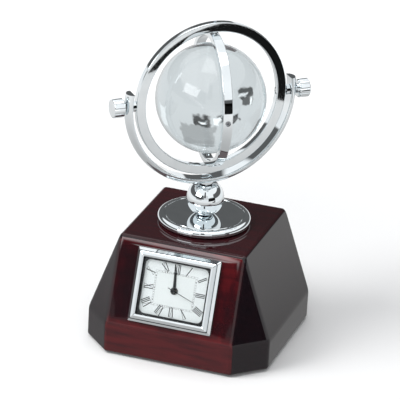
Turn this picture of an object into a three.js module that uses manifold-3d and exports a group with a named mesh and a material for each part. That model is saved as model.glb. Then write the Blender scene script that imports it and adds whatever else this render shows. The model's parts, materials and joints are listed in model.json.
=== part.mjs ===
// Crystal globe clock: a clear globe spins inside three nested chrome rings, which swivel on
// a ball post over a lacquered wooden plinth. A battery clock sits in the sloping front.
// Millimetres, +Z up, front towards -Y, origin at the middle of the underside.
import * as THREE from 'three';
import { ConvexGeometry } from 'three/addons/geometries/ConvexGeometry.js';
import { mergeVertices } from 'three/addons/utils/BufferGeometryUtils.js';
import Module from 'manifold-3d';

// Clearances
const SEAT_GAP = 0.3; // between two pieces that rest on each other
const RUN_GAP = 0.3; // round a pin or an arbor in its hole

// Wooden plinth: an octagonal band below four sloping sides and a square top
const PLINTH_WIDTH = 103;
const PLINTH_TOP = 70.3;
const PLINTH_CORNER = 16; // taken off each corner of the band, along the side
const BAND_TOP = 17.5;
const PLINTH_HEIGHT = 63.7;
const PLINTH_ROUND = 2.4; // soft edges of the lacquer
const FELT_THICK = 1;
const FELT_INSET = 3;

// Fixing bolt up through the plinth
const BOLT_RADIUS = 2.5;
const BOLT_HEAD_RADIUS = 4.4;
const BOLT_HEAD_HEIGHT = 3.2;
const BOLT_GRIP_IN_BALL = 6.5;
const WASHER_RADIUS = 8;
const WASHER_THICK = 1.2;
const COUNTERBORE_DEPTH = 9;

// Flange disc and ball post
const DISC_RADIUS = 25.4;
const DISC_THICK = 4.5;
const DISC_NOSE = 2.2; // radius of the rounded rim
const DISC_GROOVE_INSET = 3.4;
const DISC_GROOVE_WIDTH = 0.8;
const DISC_GROOVE_DEPTH = 0.3;
const BALL_RADIUS = 10.2;
const BALL_FOOT = 9.35; // from its middle down to the flat on the disc
const BALL_CROWN = 8.05; // from its middle up to the flat under the cradle

// Crystal globe, and the three rings that are sized outwards from it
const GLOBE_RADIUS = 29.6;
const GLOBE_CLEARANCE = 3.6; // to the meridian ring
const MERIDIAN_THICK = 3.5;
const MERIDIAN_CLEARANCE = 1.1; // to the tilt ring
const TILT_THICK = 5.2;
const TILT_CLEARANCE = 2.6; // to the cradle arm
const CRADLE_THICK = 3.5;

// Half-round cradle arm, swivelled about the post
const SWIVEL_TURN = 42; // degrees from the plinth's front
const CRADLE_WIDTH = 7.6;
const CRADLE_END = 7.5; // the two ends rise this far above the knobs' axis
const CRADLE_EDGE = 0.5;
const PAD_RADIUS = 4;
const PAD_DROP = 0.3;
const SCREW_RADIUS = 1.5;
const SCREW_HEAD_RADIUS = 3;
const SCREW_HEAD_HEIGHT = 1.3;
const SCREW_HEAD_CROWN = 0.5;
const SCREW_RECESS = 0.3; // head below the cradle's inner face
const SLOT_WIDTH = 0.8; // screwdriver slots
const SLOT_DEPTH = 0.6;
const SCREW_GRIP_IN_BALL = 8;

// Tilt ring and its fluted knobs
const TILT_WIDTH = 3.9;
const RING_EDGE = 0.5; // chamfer along the edges of both full rings
const KNOB_RADIUS = 5.1;
const KNOB_LENGTH = 6.2;
const KNOB_FLUTES = 12;
const KNOB_FLUTE_DEPTH = 0.35;
const KNOB_EDGE = 0.6;
const KNOB_NECK_RADIUS = 2.7;
const KNOB_NECK_LENGTH = 0.8;
const KNOB_SHAFT_RADIUS = 1.5;
const SPACER_WALL = 1;

// Meridian ring inside the tilt ring, and the screws it turns on
const MERIDIAN_TURN = -98.8; // degrees from the knobs' axis
const MERIDIAN_WIDTH = 5.2;
const PIVOT_RADIUS = 1.2;
const PIVOT_SINK = 0.2; // below the tilt ring's outer face

// Socket screws through the meridian ring, which the globe turns on
const GLOBE_PIN_RADIUS = 1.2;
const GLOBE_PIN_GRIP = 3;
const GLOBE_PIN_SINK = 0.2; // below the meridian ring's outer face
const SOCKET_RADIUS = 0.75;
const SOCKET_DEPTH = 1;

// Clock insert: chrome bezel, glass, black spacer and dial
const BEZEL_WIDTH = 46.4;
const BEZEL_HEIGHT = 40;
const BEZEL_WALL = 1.7; // height of the plain outer wall
const BEZEL_STEP = 3.3; // height of the outer step
const BEZEL_STEP_INSET = 1.3;
const BEZEL_STEP_LAND = 0.7; // flat on top of the step
const BEZEL_GROOVE = 0.5; // width and depth of the groove behind the step
const BEZEL_CORNER = 0.6;
const BEZEL_BEVEL = 0.6; // along the opening
const BEZEL_LIP = 0.55; // thickness of the lip over the glass
const BEZEL_FRAME = 4.7; // from the outer edge to the opening
const BEZEL_REBATE = 3.2; // from the outer edge to the recess behind the lip
const OPENING_ROUND = 3;
const INNER_ROUND = 1.4; // corners of the glass, the dial and the case's flange
const NOTCH_WIDTH = 4;
const NOTCH_DEPTH = 0.9;
const NOTCH_OFFSET = -1.9;
const GLASS_THICK = 0.7;
const SPACER_FRAME = 1.9; // width of the black spacer round the dial
const DIAL_THICK = 0.4;
const FLANGE_THICK = 0.6;

// Hands
const HAND_THICK = 0.2;
const HAND_PITCH = 0.4; // from one hand to the next
const HOUR_REACH = 9.9;
const MINUTE_REACH = 13.9;
const SECOND_REACH = 12.7;
const SECOND_TAIL = 3.6;
const HOUR_TURN = 4.5; // degrees left of twelve
const MINUTE_TURN = 5.2;
const SECOND_TURN = -109.6;
const HOUR_HAND_WIDTH = 1.5;
const MINUTE_HAND_WIDTH = 1.2;
const SECOND_HAND_WIDTH = 0.35;
const HAND_SHOULDER = 0.35; // where a hand starts to taper, as a share of its reach
const HAND_TIP = 0.28; // half the tip's width, as a share of the hand's width
const HUB_RIM = 0.35; // of a hand, round its hole

// Round movement case and its rubber ring
const CASE_RADIUS = 17;
const CASE_WALL = 1;
const CASE_DEPTH = 13.5; // behind the plinth's face
const GRIP_RING_THICK = 0.9;
const GRIP_RING_FRONT = -3;
const GRIP_RING_RIBS = 2;
const GRIP_RIB_PITCH = 3;
const POCKET_DEPTH = 17;
const COVER_THICK = 1;
const COVER_RECESS = 0.6; // back cover below the case's rim

// Movement: plates and train
const PLATE_THICK = 1.2;
const WHEEL_THICK = 0.4;
const LAYER_PITCH = 0.8;
const TRAIN_GAP = 0.6; // between the last wheel, the magnet and the bridge
const ARBOR_RADIUS = 0.25;
const TUBE_WALL = 0.25;
const TRAIN_MODULE = 0.2;
const MOTION_MODULE = 0.28;
const TOOTH_RISE = 0.75; // tooth above and below its pitch circle, in modules
const TOOTH_DROP = 1.7;
const TOOTH_TIP = 0.07; // half the tip's width, in tooth pitches
const PINION_LEAVES = 6;
const PINION_OVERLAP = 0.15; // a pinion beyond each face of the wheel it meshes with
const INTERMEDIATE_TEETH = 36;
const SECOND_TEETH = 30;
const THIRD_TEETH = 48;
const CENTRE_TEETH = 45;
const CANNON_LEAVES = 10;
const MINUTE_TEETH = 30;
const MINUTE_LEAVES = 8;
const HOUR_TEETH = 32;
const SET_LEAVES = 10;
const THIRD_ANGLE = 20; // places of the arbors about the middle, in degrees
const INTERMEDIATE_ANGLE = -76;
const ROTOR_ANGLE = -102;
const MINUTE_ANGLE = 120;
const SET_ANGLE = 100;
const MAGNET_RADIUS = 1.5;
const MAGNET_HEIGHT = 1.6;
const MAGNET_GAP = 0.4; // to the stator's bore
const STATOR_WIDTH = 15;
const STATOR_LEG = 2.2;
const STATOR_RIM = 0.6; // metal left round the stator's bore
const STATOR_THICK = 0.6;
const COIL_DROP = 5; // from the rotor to the coil's axis
const COIL_RADIUS = 2;
const WINDING_RADIUS = 1.75;
const COIL_FLANGE = 0.7;
const CORE_WIDTH = 1.6;
const CORE_THICK = 0.5;
const BRIDGE_THICK = 0.8;
const BRIDGE_ARM = 1.2; // half the width of the bridge's arms
const PILLAR_RADIUS = 0.6;
const PILLAR_PLACES = [[6.6, -4], [-4.4, -4.1]];
const BATTERY_RADIUS = 5.8;
const BATTERY_HEIGHT = 5.4;
const BATTERY_STEP = 0.5;
const BATTERY_ANGLE = 175;
const CONTACT_THICK = 0.25;
const CONTACT_WIDTH = 3;
const BOARD_LEFT = 8;
const BOARD_WIDTH = 4.8;
const BOARD_BOTTOM = -2.2;
const BOARD_HEIGHT = 10.5;
const BOARD_THICK = 0.5;
const CRYSTAL_CAN_RADIUS = 1;
const CRYSTAL_CAN_LENGTH = 6;
const CHIP_SIZE = 3;
const CHIP_THICK = 0.8;
const SET_ARBOR_RADIUS = 0.6;
const SET_KNOB_RADIUS = 3;
const SET_KNOB_HEIGHT = 1.8;
const SET_KNOB_FLUTES = 10;
const SET_KNOB_FLUTE_DEPTH = 0.4;
const HATCH_RIM = 0.8; // hatch beyond the battery's edge
const HATCH_SLOT = 2;

// Facets round a full turn
const RING_SIDES = 36;
const BALL_SIDES = 20;
const PIN_SIDES = 12;
const CASE_SIDES = 26;
const ARC_STEPS = 6; // along a half-round section

const FINISH = {
  chrome: { color: 0xc9cdd2, roughness: 0.06, metalness: 1 },
  wood: { color: 0x4a1a1e, roughness: 0.12, metalness: 0 },
  felt: { color: 0x16261c, roughness: 1, metalness: 0 },
  steel: { color: 0x8d9196, roughness: 0.35, metalness: 1 },
  crystal: { color: 0xeef3f4, roughness: 0.02, metalness: 0 },
  glass: { color: 0xf2f6f6, roughness: 0.02, metalness: 0 },
  dial: { color: 0xf4f4f2, roughness: 0.6, metalness: 0 },
  black: { color: 0x0b0b0c, roughness: 0.4, metalness: 0 },
  rubber: { color: 0x1b1b1c, roughness: 0.85, metalness: 0 },
  plastic: { color: 0x26282b, roughness: 0.5, metalness: 0 },
  nylon: { color: 0xe6e2d6, roughness: 0.45, metalness: 0 },
  brass: { color: 0xb98d3f, roughness: 0.3, metalness: 1 },
  copper: { color: 0xa8552b, roughness: 0.35, metalness: 1 },
  board: { color: 0x1f5b36, roughness: 0.5, metalness: 0 },
};

const { PI, cos, sin, tan, asin, atan2, hypot } = Math;
const radians = THREE.MathUtils.degToRad;
const wasm = await Module();
wasm.setup();

// Solids and booleans

function solidOf(geometry) {
  const bare = geometry.clone();
  bare.deleteAttribute('normal');
  bare.deleteAttribute('uv');
  const merged = mergeVertices(bare, 1e-4);
  return new wasm.Manifold(new wasm.Mesh({
    numProp: 3,
    vertProperties: new Float32Array(merged.attributes.position.array),
    triVerts: new Uint32Array(merged.index.array),
  }));
}

function geometryOf(solid) {
  const { vertProperties, triVerts } = solid.getMesh();
  const geometry = new THREE.BufferGeometry();
  geometry.setAttribute('position', new THREE.BufferAttribute(vertProperties, 3));
  geometry.setIndex(new THREE.BufferAttribute(triVerts, 1));
  geometry.computeVertexNormals();
  return geometry;
}

function join(first, ...others) {
  return geometryOf(others.reduce((whole, piece) => whole.add(solidOf(piece)), solidOf(first)));
}

function cut(first, ...tools) {
  return geometryOf(tools.reduce((whole, tool) => whole.subtract(solidOf(tool)), solidOf(first)));
}

// Basic forms

// A solid of revolution about Z from [radius, height] points, going up on the outside.
function turned(profile, sides) {
  const points = profile.map(([radius, height]) => new THREE.Vector2(radius, height));
  return new THREE.LatheGeometry(points, sides).rotateX(PI / 2);
}

// A ring whose axis is Y, from [radius, along] points of its closed section.
function hoop(section, sides) {
  const points = [...section, section[0]].map(([radius, along]) => new THREE.Vector2(radius, along));
  return new THREE.LatheGeometry(points, sides);
}

function rod(radius, low, high, sides = PIN_SIDES, x = 0, y = 0) {
  const geometry = new THREE.CylinderGeometry(radius, radius, high - low, sides);
  return geometry.rotateX(PI / 2).translate(x, y, (low + high) / 2);
}

// A rod along X.
function crossRod(radius, low, high, sides = PIN_SIDES) {
  return rod(radius, low, high, sides).rotateY(PI / 2);
}

function tube(inner, outer, low, high, sides = PIN_SIDES) {
  return turned([[inner, low], [outer, low], [outer, high], [inner, high], [inner, low]], sides);
}

function block(width, depth, low, high, x = 0, y = 0) {
  return new THREE.BoxGeometry(width, depth, high - low).translate(x, y, (low + high) / 2);
}

function prism(shape, low, high) {
  const options = { depth: high - low, bevelEnabled: false, curveSegments: 3 };
  return new THREE.ExtrudeGeometry(shape, options).translate(0, 0, low);
}

function outline(points) {
  return new THREE.Shape(points.map(([x, y]) => new THREE.Vector2(x, y)));
}

// Points round a rectangle with rounded corners, counterclockwise from the lower right.
function roundedLoop(width, height, radius, steps = 4) {
  const points = [];
  [[1, -1], [1, 1], [-1, 1], [-1, -1]].forEach(([sx, sy], corner) => {
    for (let step = 0; step <= steps; step += 1) {
      const angle = (corner - 1 + step / steps) * PI / 2;
      const x = sx * (width / 2 - radius) + radius * cos(angle);
      points.push([x, sy * (height / 2 - radius) + radius * sin(angle)]);
    }
  });
  return points;
}

function plate(width, height, radius, low, high) {
  return prism(outline(roundedLoop(width, height, radius)), low, high);
}

// A mitred frame: its closed section is given as insets from a rectangle, heights and corner radii.
function frame(width, height, section) {
  const loops = section.map(({ inset, rise, round }) => (
    roundedLoop(width - 2 * inset, height - 2 * inset, round).map(([x, y]) => [x, y, rise])
  ));
  const around = loops[0].length;
  const index = [];
  loops.forEach((loop, row) => {
    const next = (row + 1) % loops.length;
    for (let i = 0; i < around; i += 1) {
      const j = (i + 1) % around;
      const [a, b] = [row * around + i, row * around + j];
      const [c, d] = [next * around + j, next * around + i];
      index.push(a, b, c, a, c, d);
    }
  });
  const geometry = new THREE.BufferGeometry();
  geometry.setAttribute('position', new THREE.Float32BufferAttribute(loops.flat(2), 3));
  geometry.setIndex(index);
  geometry.computeVertexNormals();
  return geometry;
}

// A convex solid with every edge rounded: the hull of small spheres at its corners, sampled
// along the normals of its faces so that the faces stay flat.
function roundedHull(corners, radius) {
  const sharp = new ConvexGeometry(corners).attributes.normal;
  const normals = [];
  for (let i = 0; i < sharp.count; i += 3) {
    const normal = new THREE.Vector3().fromBufferAttribute(sharp, i).normalize();
    if (!normals.some((known) => known.distanceTo(normal) < 1e-3)) normals.push(normal);
  }
  const between = normals.flatMap((one, i) => normals.slice(i + 1)
    .filter((other) => one.dot(other) > -0.5)
    .map((other) => one.clone().add(other).normalize()));
  const directions = [...normals, ...between];
  const points = corners.flatMap((corner) => (
    directions.map((direction) => corner.clone().addScaledVector(direction, radius))
  ));
  return new ConvexGeometry(points);
}

// A round outline whose edge waves in and out, as a fluted knob's does.
function flutedOutline(radius, flutes, depth) {
  const steps = flutes * 4;
  return outline(Array.from({ length: steps }, (_, i) => {
    const angle = i / steps * 2 * PI;
    const reach = radius - depth * (0.5 - 0.5 * cos(flutes * angle));
    return [reach * cos(angle), reach * sin(angle)];
  }));
}

// A toothed wheel's outline, with V-shaped gaps. Its first tooth points along the given angle.
function toothOutline(teeth, module, angle) {
  const pitch = module * teeth / 2;
  const tip = pitch + TOOTH_RISE * module;
  const root = pitch - TOOTH_DROP * module;
  const step = 2 * PI / teeth;
  const points = [];
  for (let tooth = 0; tooth < teeth; tooth += 1) {
    const at = angle + tooth * step;
    points.push([root, at - step / 2], [tip, at - TOOTH_TIP * step], [tip, at + TOOTH_TIP * step]);
  }
  return outline(points.map(([reach, at]) => [reach * cos(at), reach * sin(at)]));
}

function wheel(teeth, module, angle, { front, back }) {
  return prism(toothOutline(teeth, module, angle), back, front);
}

// Scene graph helpers

const clock = new THREE.Group();

function group(parent) {
  const child = new THREE.Group();
  parent.add(child);
  return child;
}

function piece(parent, name, finish, geometry) {
  const mesh = new THREE.Mesh(geometry, new THREE.MeshStandardMaterial(FINISH[finish]));
  mesh.name = name;
  parent.add(mesh);
  return mesh;
}

// Derived radii of the rings
const meridianInner = GLOBE_RADIUS + GLOBE_CLEARANCE;
const meridianOuter = meridianInner + MERIDIAN_THICK;
const tiltInner = meridianOuter + MERIDIAN_CLEARANCE;
const tiltOuter = tiltInner + TILT_THICK;
const cradleInner = tiltOuter + TILT_CLEARANCE;
const cradleOuter = cradleInner + CRADLE_THICK;

// Derived heights up the post
const discTop = PLINTH_HEIGHT + DISC_THICK;
const ballMiddle = discTop + BALL_FOOT;
const ballTop = ballMiddle + BALL_CROWN;
const globeHeight = ballTop + SEAT_GAP + PAD_DROP + cradleOuter;
const slopeLean = atan2((PLINTH_WIDTH - PLINTH_TOP) / 2, PLINTH_HEIGHT - BAND_TOP);
const boltHole = BOLT_RADIUS + RUN_GAP;
const screwHole = SCREW_RADIUS + RUN_GAP;

// Derived levels of the clock insert, along the outward normal of the plinth's front
const flangeFront = SEAT_GAP + FLANGE_THICK;
const dialBack = flangeFront + SEAT_GAP;
const dialFront = dialBack + DIAL_THICK;
const hourBack = dialFront + SEAT_GAP;
const minuteBack = hourBack + HAND_PITCH;
const secondBack = minuteBack + HAND_PITCH;
const glassBack = secondBack + HAND_THICK + SEAT_GAP;
const glassFront = glassBack + GLASS_THICK;
const lipBack = glassFront + SEAT_GAP;
const bezelCrest = lipBack + BEZEL_LIP;
const plateBack = flangeFront - PLATE_THICK;
const caseInner = CASE_RADIUS - CASE_WALL;
const caseFit = caseInner - SEAT_GAP;
const pocketRadius = CASE_RADIUS + GRIP_RING_THICK + 2 * SEAT_GAP;
const innerWidth = BEZEL_WIDTH - 2 * (BEZEL_REBATE + SEAT_GAP);
const innerHeight = BEZEL_HEIGHT - 2 * (BEZEL_REBATE + SEAT_GAP);

// Turns a group so that its Z axis stands out of the middle of the plinth's front slope.
function setOnSlope(target) {
  target.position.set(0, -(PLINTH_WIDTH + PLINTH_TOP) / 4, (BAND_TOP + PLINTH_HEIGHT) / 2);
  target.rotation.x = PI / 2 - slopeLean;
  return target;
}

// Plinth, felt, bolt, disc and ball

function octagon(halfWidth, halfSide, height) {
  const [a, b] = [halfWidth, halfSide];
  const points = [[a, b], [b, a], [-b, a], [-a, b], [-a, -b], [-b, -a], [b, -a], [a, -b]];
  return points.map(([x, y]) => new THREE.Vector3(x, y, height));
}

function plinthBlock() {
  const round = PLINTH_ROUND;
  const bandHalf = PLINTH_WIDTH / 2 - round;
  const bandSide = PLINTH_WIDTH / 2 - PLINTH_CORNER - round * tan(PI / 8);
  const topHalf = PLINTH_TOP / 2 - round * tan((PI / 2 - slopeLean) / 2);
  const corners = [
    ...octagon(bandHalf, bandSide, FELT_THICK + round),
    ...octagon(bandHalf, bandSide, BAND_TOP - round * tan(slopeLean / 2)),
  ];
  [[1, 1], [-1, 1], [-1, -1], [1, -1]].forEach(([sx, sy]) => {
    corners.push(new THREE.Vector3(sx * topHalf, sy * topHalf, PLINTH_HEIGHT - round));
  });
  const pocket = rod(pocketRadius, -POCKET_DEPTH, POCKET_DEPTH, CASE_SIDES);
  const place = setOnSlope(new THREE.Object3D());
  place.updateMatrix();
  pocket.applyMatrix4(place.matrix);
  return cut(
    roundedHull(corners, round),
    pocket,
    rod(boltHole, 0, PLINTH_HEIGHT + 1),
    rod(WASHER_RADIUS + SEAT_GAP, 0, COUNTERBORE_DEPTH, BALL_SIDES),
  );
}

function felt() {
  const halfWidth = PLINTH_WIDTH / 2 - FELT_INSET;
  const halfSide = PLINTH_WIDTH / 2 - PLINTH_CORNER - FELT_INSET * tan(PI / 8);
  const points = octagon(halfWidth, halfSide, 0).map(({ x, y }) => [x, y]);
  return prism(outline(points), 0, FELT_THICK);
}

function fixingBolt() {
  const seat = COUNTERBORE_DEPTH - WASHER_THICK;
  const head = new THREE.CylinderGeometry(BOLT_HEAD_RADIUS, BOLT_HEAD_RADIUS, BOLT_HEAD_HEIGHT, 6);
  head.rotateX(PI / 2).translate(0, 0, seat - BOLT_HEAD_HEIGHT / 2);
  return join(head, rod(BOLT_RADIUS, seat - 1, discTop + BOLT_GRIP_IN_BALL));
}

function flangeDisc() {
  const low = PLINTH_HEIGHT;
  const nose = Array.from({ length: ARC_STEPS + 1 }, (_, i) => {
    const angle = (i / ARC_STEPS - 0.5) * PI;
    const reach = DISC_RADIUS - DISC_NOSE + DISC_NOSE * cos(angle);
    return [reach, low + DISC_THICK / 2 + DISC_THICK / 2 * sin(angle)];
  });
  const groove = DISC_RADIUS - DISC_GROOVE_INSET;
  return turned([
    [boltHole, low],
    ...nose,
    [groove, discTop],
    [groove - DISC_GROOVE_WIDTH / 2, discTop - DISC_GROOVE_DEPTH],
    [groove - DISC_GROOVE_WIDTH, discTop],
    [boltHole, discTop],
    [boltHole, low],
  ], RING_SIDES);
}

function ballPost() {
  const low = -asin(BALL_FOOT / BALL_RADIUS);
  const high = asin(BALL_CROWN / BALL_RADIUS);
  const steps = 8;
  const skin = Array.from({ length: steps + 1 }, (_, i) => {
    const angle = low + (high - low) * i / steps;
    return [BALL_RADIUS * cos(angle), ballMiddle + BALL_RADIUS * sin(angle)];
  });
  const boltEnd = discTop + BOLT_GRIP_IN_BALL + SEAT_GAP;
  const screwEnd = ballTop - SCREW_GRIP_IN_BALL - SEAT_GAP;
  return turned([
    [0, boltEnd],
    [boltHole, boltEnd],
    [boltHole, discTop],
    ...skin,
    [screwHole, ballTop],
    [screwHole, screwEnd],
    [0, screwEnd],
  ], BALL_SIDES);
}

piece(clock, 'plinth_block', 'wood', plinthBlock());
piece(clock, 'plinth_felt', 'felt', felt());
piece(clock, 'fixing_bolt', 'steel', fixingBolt());
piece(clock, 'fixing_washer', 'steel', tube(
  boltHole, WASHER_RADIUS, COUNTERBORE_DEPTH - WASHER_THICK, COUNTERBORE_DEPTH, BALL_SIDES,
));
piece(clock, 'flange_disc', 'chrome', flangeDisc());
piece(clock, 'ball_post', 'chrome', ballPost());

// Cradle arm: a half-round bar bent with its flat side inwards, in the X-Z plane of its group

const cradle = group(clock);
cradle.position.z = globeHeight;
cradle.rotation.z = radians(SWIVEL_TURN);
const shaftHole = KNOB_SHAFT_RADIUS + RUN_GAP;
const screwHeadTop = -(cradleInner + SCREW_RECESS);

function cradleArm() {
  const half = CRADLE_WIDTH / 2;
  const dome = Array.from({ length: ARC_STEPS + 1 }, (_, i) => {
    const angle = (i / ARC_STEPS - 0.5) * PI;
    const rise = cradleOuter - cradleInner - CRADLE_EDGE;
    return [cradleInner + CRADLE_EDGE + rise * cos(angle), half * sin(angle)];
  });
  const inner = [[cradleInner, half - CRADLE_EDGE], [cradleInner, CRADLE_EDGE - half]];
  const span = 3 * cradleOuter;
  const padFoot = -(cradleOuter + PAD_DROP);
  return cut(
    join(hoop([...dome, ...inner], RING_SIDES), rod(PAD_RADIUS, padFoot, -cradleInner - 1, BALL_SIDES)),
    block(span, span, CRADLE_END, span),
    crossRod(shaftHole, -cradleOuter - 1, cradleOuter + 1),
    rod(screwHole, padFoot - 1, -cradleInner + 1),
    rod(SCREW_HEAD_RADIUS + RUN_GAP, screwHeadTop - SCREW_HEAD_HEIGHT - SEAT_GAP, 1 - cradleInner),
  );
}

// A tool that cuts a screwdriver slot into the top of a screw.
function screwSlot(top) {
  return block(2 * SCREW_HEAD_RADIUS + 1, SLOT_WIDTH, top - SLOT_DEPTH, top + 1);
}

function swivelScrew() {
  const tip = ballTop - SCREW_GRIP_IN_BALL - globeHeight;
  const headFoot = screwHeadTop - SCREW_HEAD_HEIGHT;
  const head = turned([
    [0, headFoot],
    [SCREW_HEAD_RADIUS, headFoot],
    [SCREW_HEAD_RADIUS, screwHeadTop - SCREW_HEAD_CROWN],
    [SCREW_HEAD_RADIUS - SCREW_HEAD_CROWN, screwHeadTop],
    [0, screwHeadTop],
  ], PIN_SIDES);
  return cut(join(head, rod(SCREW_RADIUS, tip, headFoot + SCREW_HEAD_CROWN)), screwSlot(screwHeadTop));
}

piece(cradle, 'cradle_arm', 'chrome', cradleArm());
piece(cradle, 'swivel_screw', 'chrome', swivelScrew());

// Tilt ring on its two knobs

function flatHoop(inner, outer, width) {
  const [half, edge] = [width / 2, RING_EDGE];
  return hoop([
    [inner + edge, -half], [outer - edge, -half], [outer, edge - half], [outer, half - edge],
    [outer - edge, half], [inner + edge, half], [inner, half - edge], [inner, edge - half],
  ], RING_SIDES);
}

const tilt = group(cradle);
const pivotHole = PIVOT_RADIUS + RUN_GAP;
const knobNeckEnd = cradleOuter + SEAT_GAP + KNOB_NECK_LENGTH;
const shaftEnd = tiltInner + SEAT_GAP;

function flutedKnob() {
  const body = new THREE.ExtrudeGeometry(
    flutedOutline(KNOB_RADIUS - KNOB_EDGE, KNOB_FLUTES, KNOB_FLUTE_DEPTH),
    {
      depth: KNOB_LENGTH - 2 * KNOB_EDGE,
      bevelThickness: KNOB_EDGE,
      bevelSize: KNOB_EDGE,
      bevelSegments: 1,
    },
  ).translate(0, 0, knobNeckEnd + KNOB_EDGE);
  const neckFoot = cradleOuter + SEAT_GAP;
  const stem = turned([
    [0, shaftEnd],
    [KNOB_SHAFT_RADIUS, shaftEnd],
    [KNOB_SHAFT_RADIUS, neckFoot],
    [KNOB_NECK_RADIUS, neckFoot],
    [KNOB_NECK_RADIUS, knobNeckEnd + 1],
    [0, knobNeckEnd + 1],
  ], PIN_SIDES);
  return join(body, stem);
}

function pivotScrew() {
  const top = tiltOuter - PIVOT_SINK;
  return cut(rod(PIVOT_RADIUS, meridianInner + SEAT_GAP, top), screwSlot(top));
}

piece(tilt, 'tilt_ring', 'chrome', cut(
  flatHoop(tiltInner, tiltOuter, TILT_WIDTH),
  crossRod(shaftHole, -tiltOuter - 1, tiltOuter + 1),
  rod(pivotHole, -tiltOuter - 1, tiltOuter + 1),
));
[['left', -1], ['right', 1]].forEach(([side, sign]) => {
  const spacerEnds = [tiltOuter + SEAT_GAP, cradleInner - SEAT_GAP];
  const spacer = tube(shaftHole, shaftHole + SPACER_WALL, ...spacerEnds);
  piece(tilt, `knob_${side}`, 'chrome', flutedKnob().rotateY(sign * PI / 2));
  piece(tilt, `knob_spacer_${side}`, 'chrome', spacer.rotateY(sign * PI / 2));
});
[['top', 0], ['bottom', PI]].forEach(([side, turn]) => {
  piece(tilt, `pivot_screw_${side}`, 'chrome', pivotScrew().rotateX(turn));
});

// Meridian ring with the globe on its two socket screws

const meridian = group(tilt);
meridian.rotation.z = radians(MERIDIAN_TURN);
const globePinHole = GLOBE_PIN_RADIUS + RUN_GAP;

function globePin() {
  const outer = meridianOuter - GLOBE_PIN_SINK;
  const socket = rod(SOCKET_RADIUS, outer - SOCKET_DEPTH, outer + 1, 6);
  return cut(rod(GLOBE_PIN_RADIUS, GLOBE_RADIUS - GLOBE_PIN_GRIP, outer), socket);
}

piece(meridian, 'meridian_ring', 'chrome', cut(
  flatHoop(meridianInner, meridianOuter, MERIDIAN_WIDTH),
  rod(pivotHole, -meridianOuter - 1, meridianOuter + 1),
  crossRod(globePinHole, -meridianOuter - 1, meridianOuter + 1),
));
[['front', 1], ['back', -1]].forEach(([side, sign]) => {
  piece(meridian, `globe_pin_${side}`, 'steel', globePin().rotateY(sign * PI / 2));
});

const globeBore = GLOBE_RADIUS - GLOBE_PIN_GRIP - SEAT_GAP;
piece(meridian, 'crystal_globe', 'crystal', cut(
  new THREE.SphereGeometry(GLOBE_RADIUS, 28, 14).rotateX(PI / 2),
  crossRod(globePinHole, globeBore, GLOBE_RADIUS + 1),
  crossRod(globePinHole, -GLOBE_RADIUS - 1, -globeBore),
));

// Clock insert: bezel, glass, spacer, dial, case and rubber ring

const insert = setOnSlope(group(clock));
// Bores round the second arbor, the cannon tube and the hour tube
const tubeRadii = [0, 1, 2].map((walls) => ARBOR_RADIUS + RUN_GAP * (walls + 1) + TUBE_WALL * walls);
const dialHole = tubeRadii[2];

function bezel() {
  const corner = BEZEL_CORNER;
  const stepEnd = BEZEL_STEP_INSET + BEZEL_STEP_LAND;
  const grooveEnd = stepEnd + BEZEL_GROOVE;
  const grooveFloor = BEZEL_STEP - BEZEL_GROOVE;
  const bevel = BEZEL_BEVEL;
  const section = [
    { inset: 0, rise: SEAT_GAP, round: corner },
    { inset: 0, rise: BEZEL_WALL, round: corner },
    { inset: BEZEL_STEP_INSET, rise: BEZEL_STEP, round: corner },
    { inset: stepEnd, rise: BEZEL_STEP, round: corner },
    { inset: stepEnd + BEZEL_GROOVE / 2, rise: grooveFloor, round: corner },
    { inset: grooveEnd, rise: grooveFloor, round: corner },
    { inset: grooveEnd + bevel, rise: bezelCrest, round: corner },
    { inset: BEZEL_FRAME - bevel, rise: bezelCrest, round: OPENING_ROUND - bevel },
    { inset: BEZEL_FRAME, rise: (lipBack + bezelCrest) / 2, round: OPENING_ROUND },
    { inset: BEZEL_FRAME, rise: lipBack, round: OPENING_ROUND },
    { inset: BEZEL_REBATE, rise: lipBack, round: INNER_ROUND + SEAT_GAP },
    { inset: BEZEL_REBATE, rise: SEAT_GAP, round: INNER_ROUND + SEAT_GAP },
  ];
  const edge = BEZEL_HEIGHT / 2;
  const notch = block(NOTCH_WIDTH, 2 * NOTCH_DEPTH, 0, BEZEL_WALL, NOTCH_OFFSET, edge);
  return cut(frame(BEZEL_WIDTH, BEZEL_HEIGHT, section), notch);
}

function spacerFrame() {
  const low = dialFront + SEAT_GAP;
  const high = glassBack - SEAT_GAP;
  const inner = SPACER_FRAME;
  return frame(innerWidth, innerHeight, [
    { inset: 0, rise: low, round: INNER_ROUND },
    { inset: 0, rise: high, round: INNER_ROUND },
    { inset: inner, rise: high, round: OPENING_ROUND },
    { inset: inner, rise: low, round: OPENING_ROUND },
  ]);
}

function movementCase() {
  const neck = innerHeight / 2;
  const neckTop = flangeFront - FLANGE_THICK / 2;
  const barrel = turned([
    [0, -CASE_DEPTH], [CASE_RADIUS, -CASE_DEPTH], [CASE_RADIUS, 0], [neck, 0], [neck, neckTop], [0, neckTop],
  ], CASE_SIDES);
  return cut(
    join(plate(innerWidth, innerHeight, INNER_ROUND, SEAT_GAP, flangeFront), barrel),
    rod(caseInner, -CASE_DEPTH - 1, flangeFront + 1, CASE_SIDES),
  );
}

function gripRing() {
  const inner = CASE_RADIUS + SEAT_GAP;
  const outer = inner + GRIP_RING_THICK;
  const valley = inner + GRIP_RING_THICK / 2;
  const length = GRIP_RING_RIBS * GRIP_RIB_PITCH;
  const low = GRIP_RING_FRONT - length;
  const ribs = Array.from({ length: GRIP_RING_RIBS }, (_, i) => {
    const foot = low + i * GRIP_RIB_PITCH;
    return [[valley, foot], [outer, foot + GRIP_RIB_PITCH / 2]];
  }).flat();
  return turned([
    [inner, low], ...ribs, [valley, low + length], [inner, low + length], [inner, low],
  ], CASE_SIDES);
}

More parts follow.
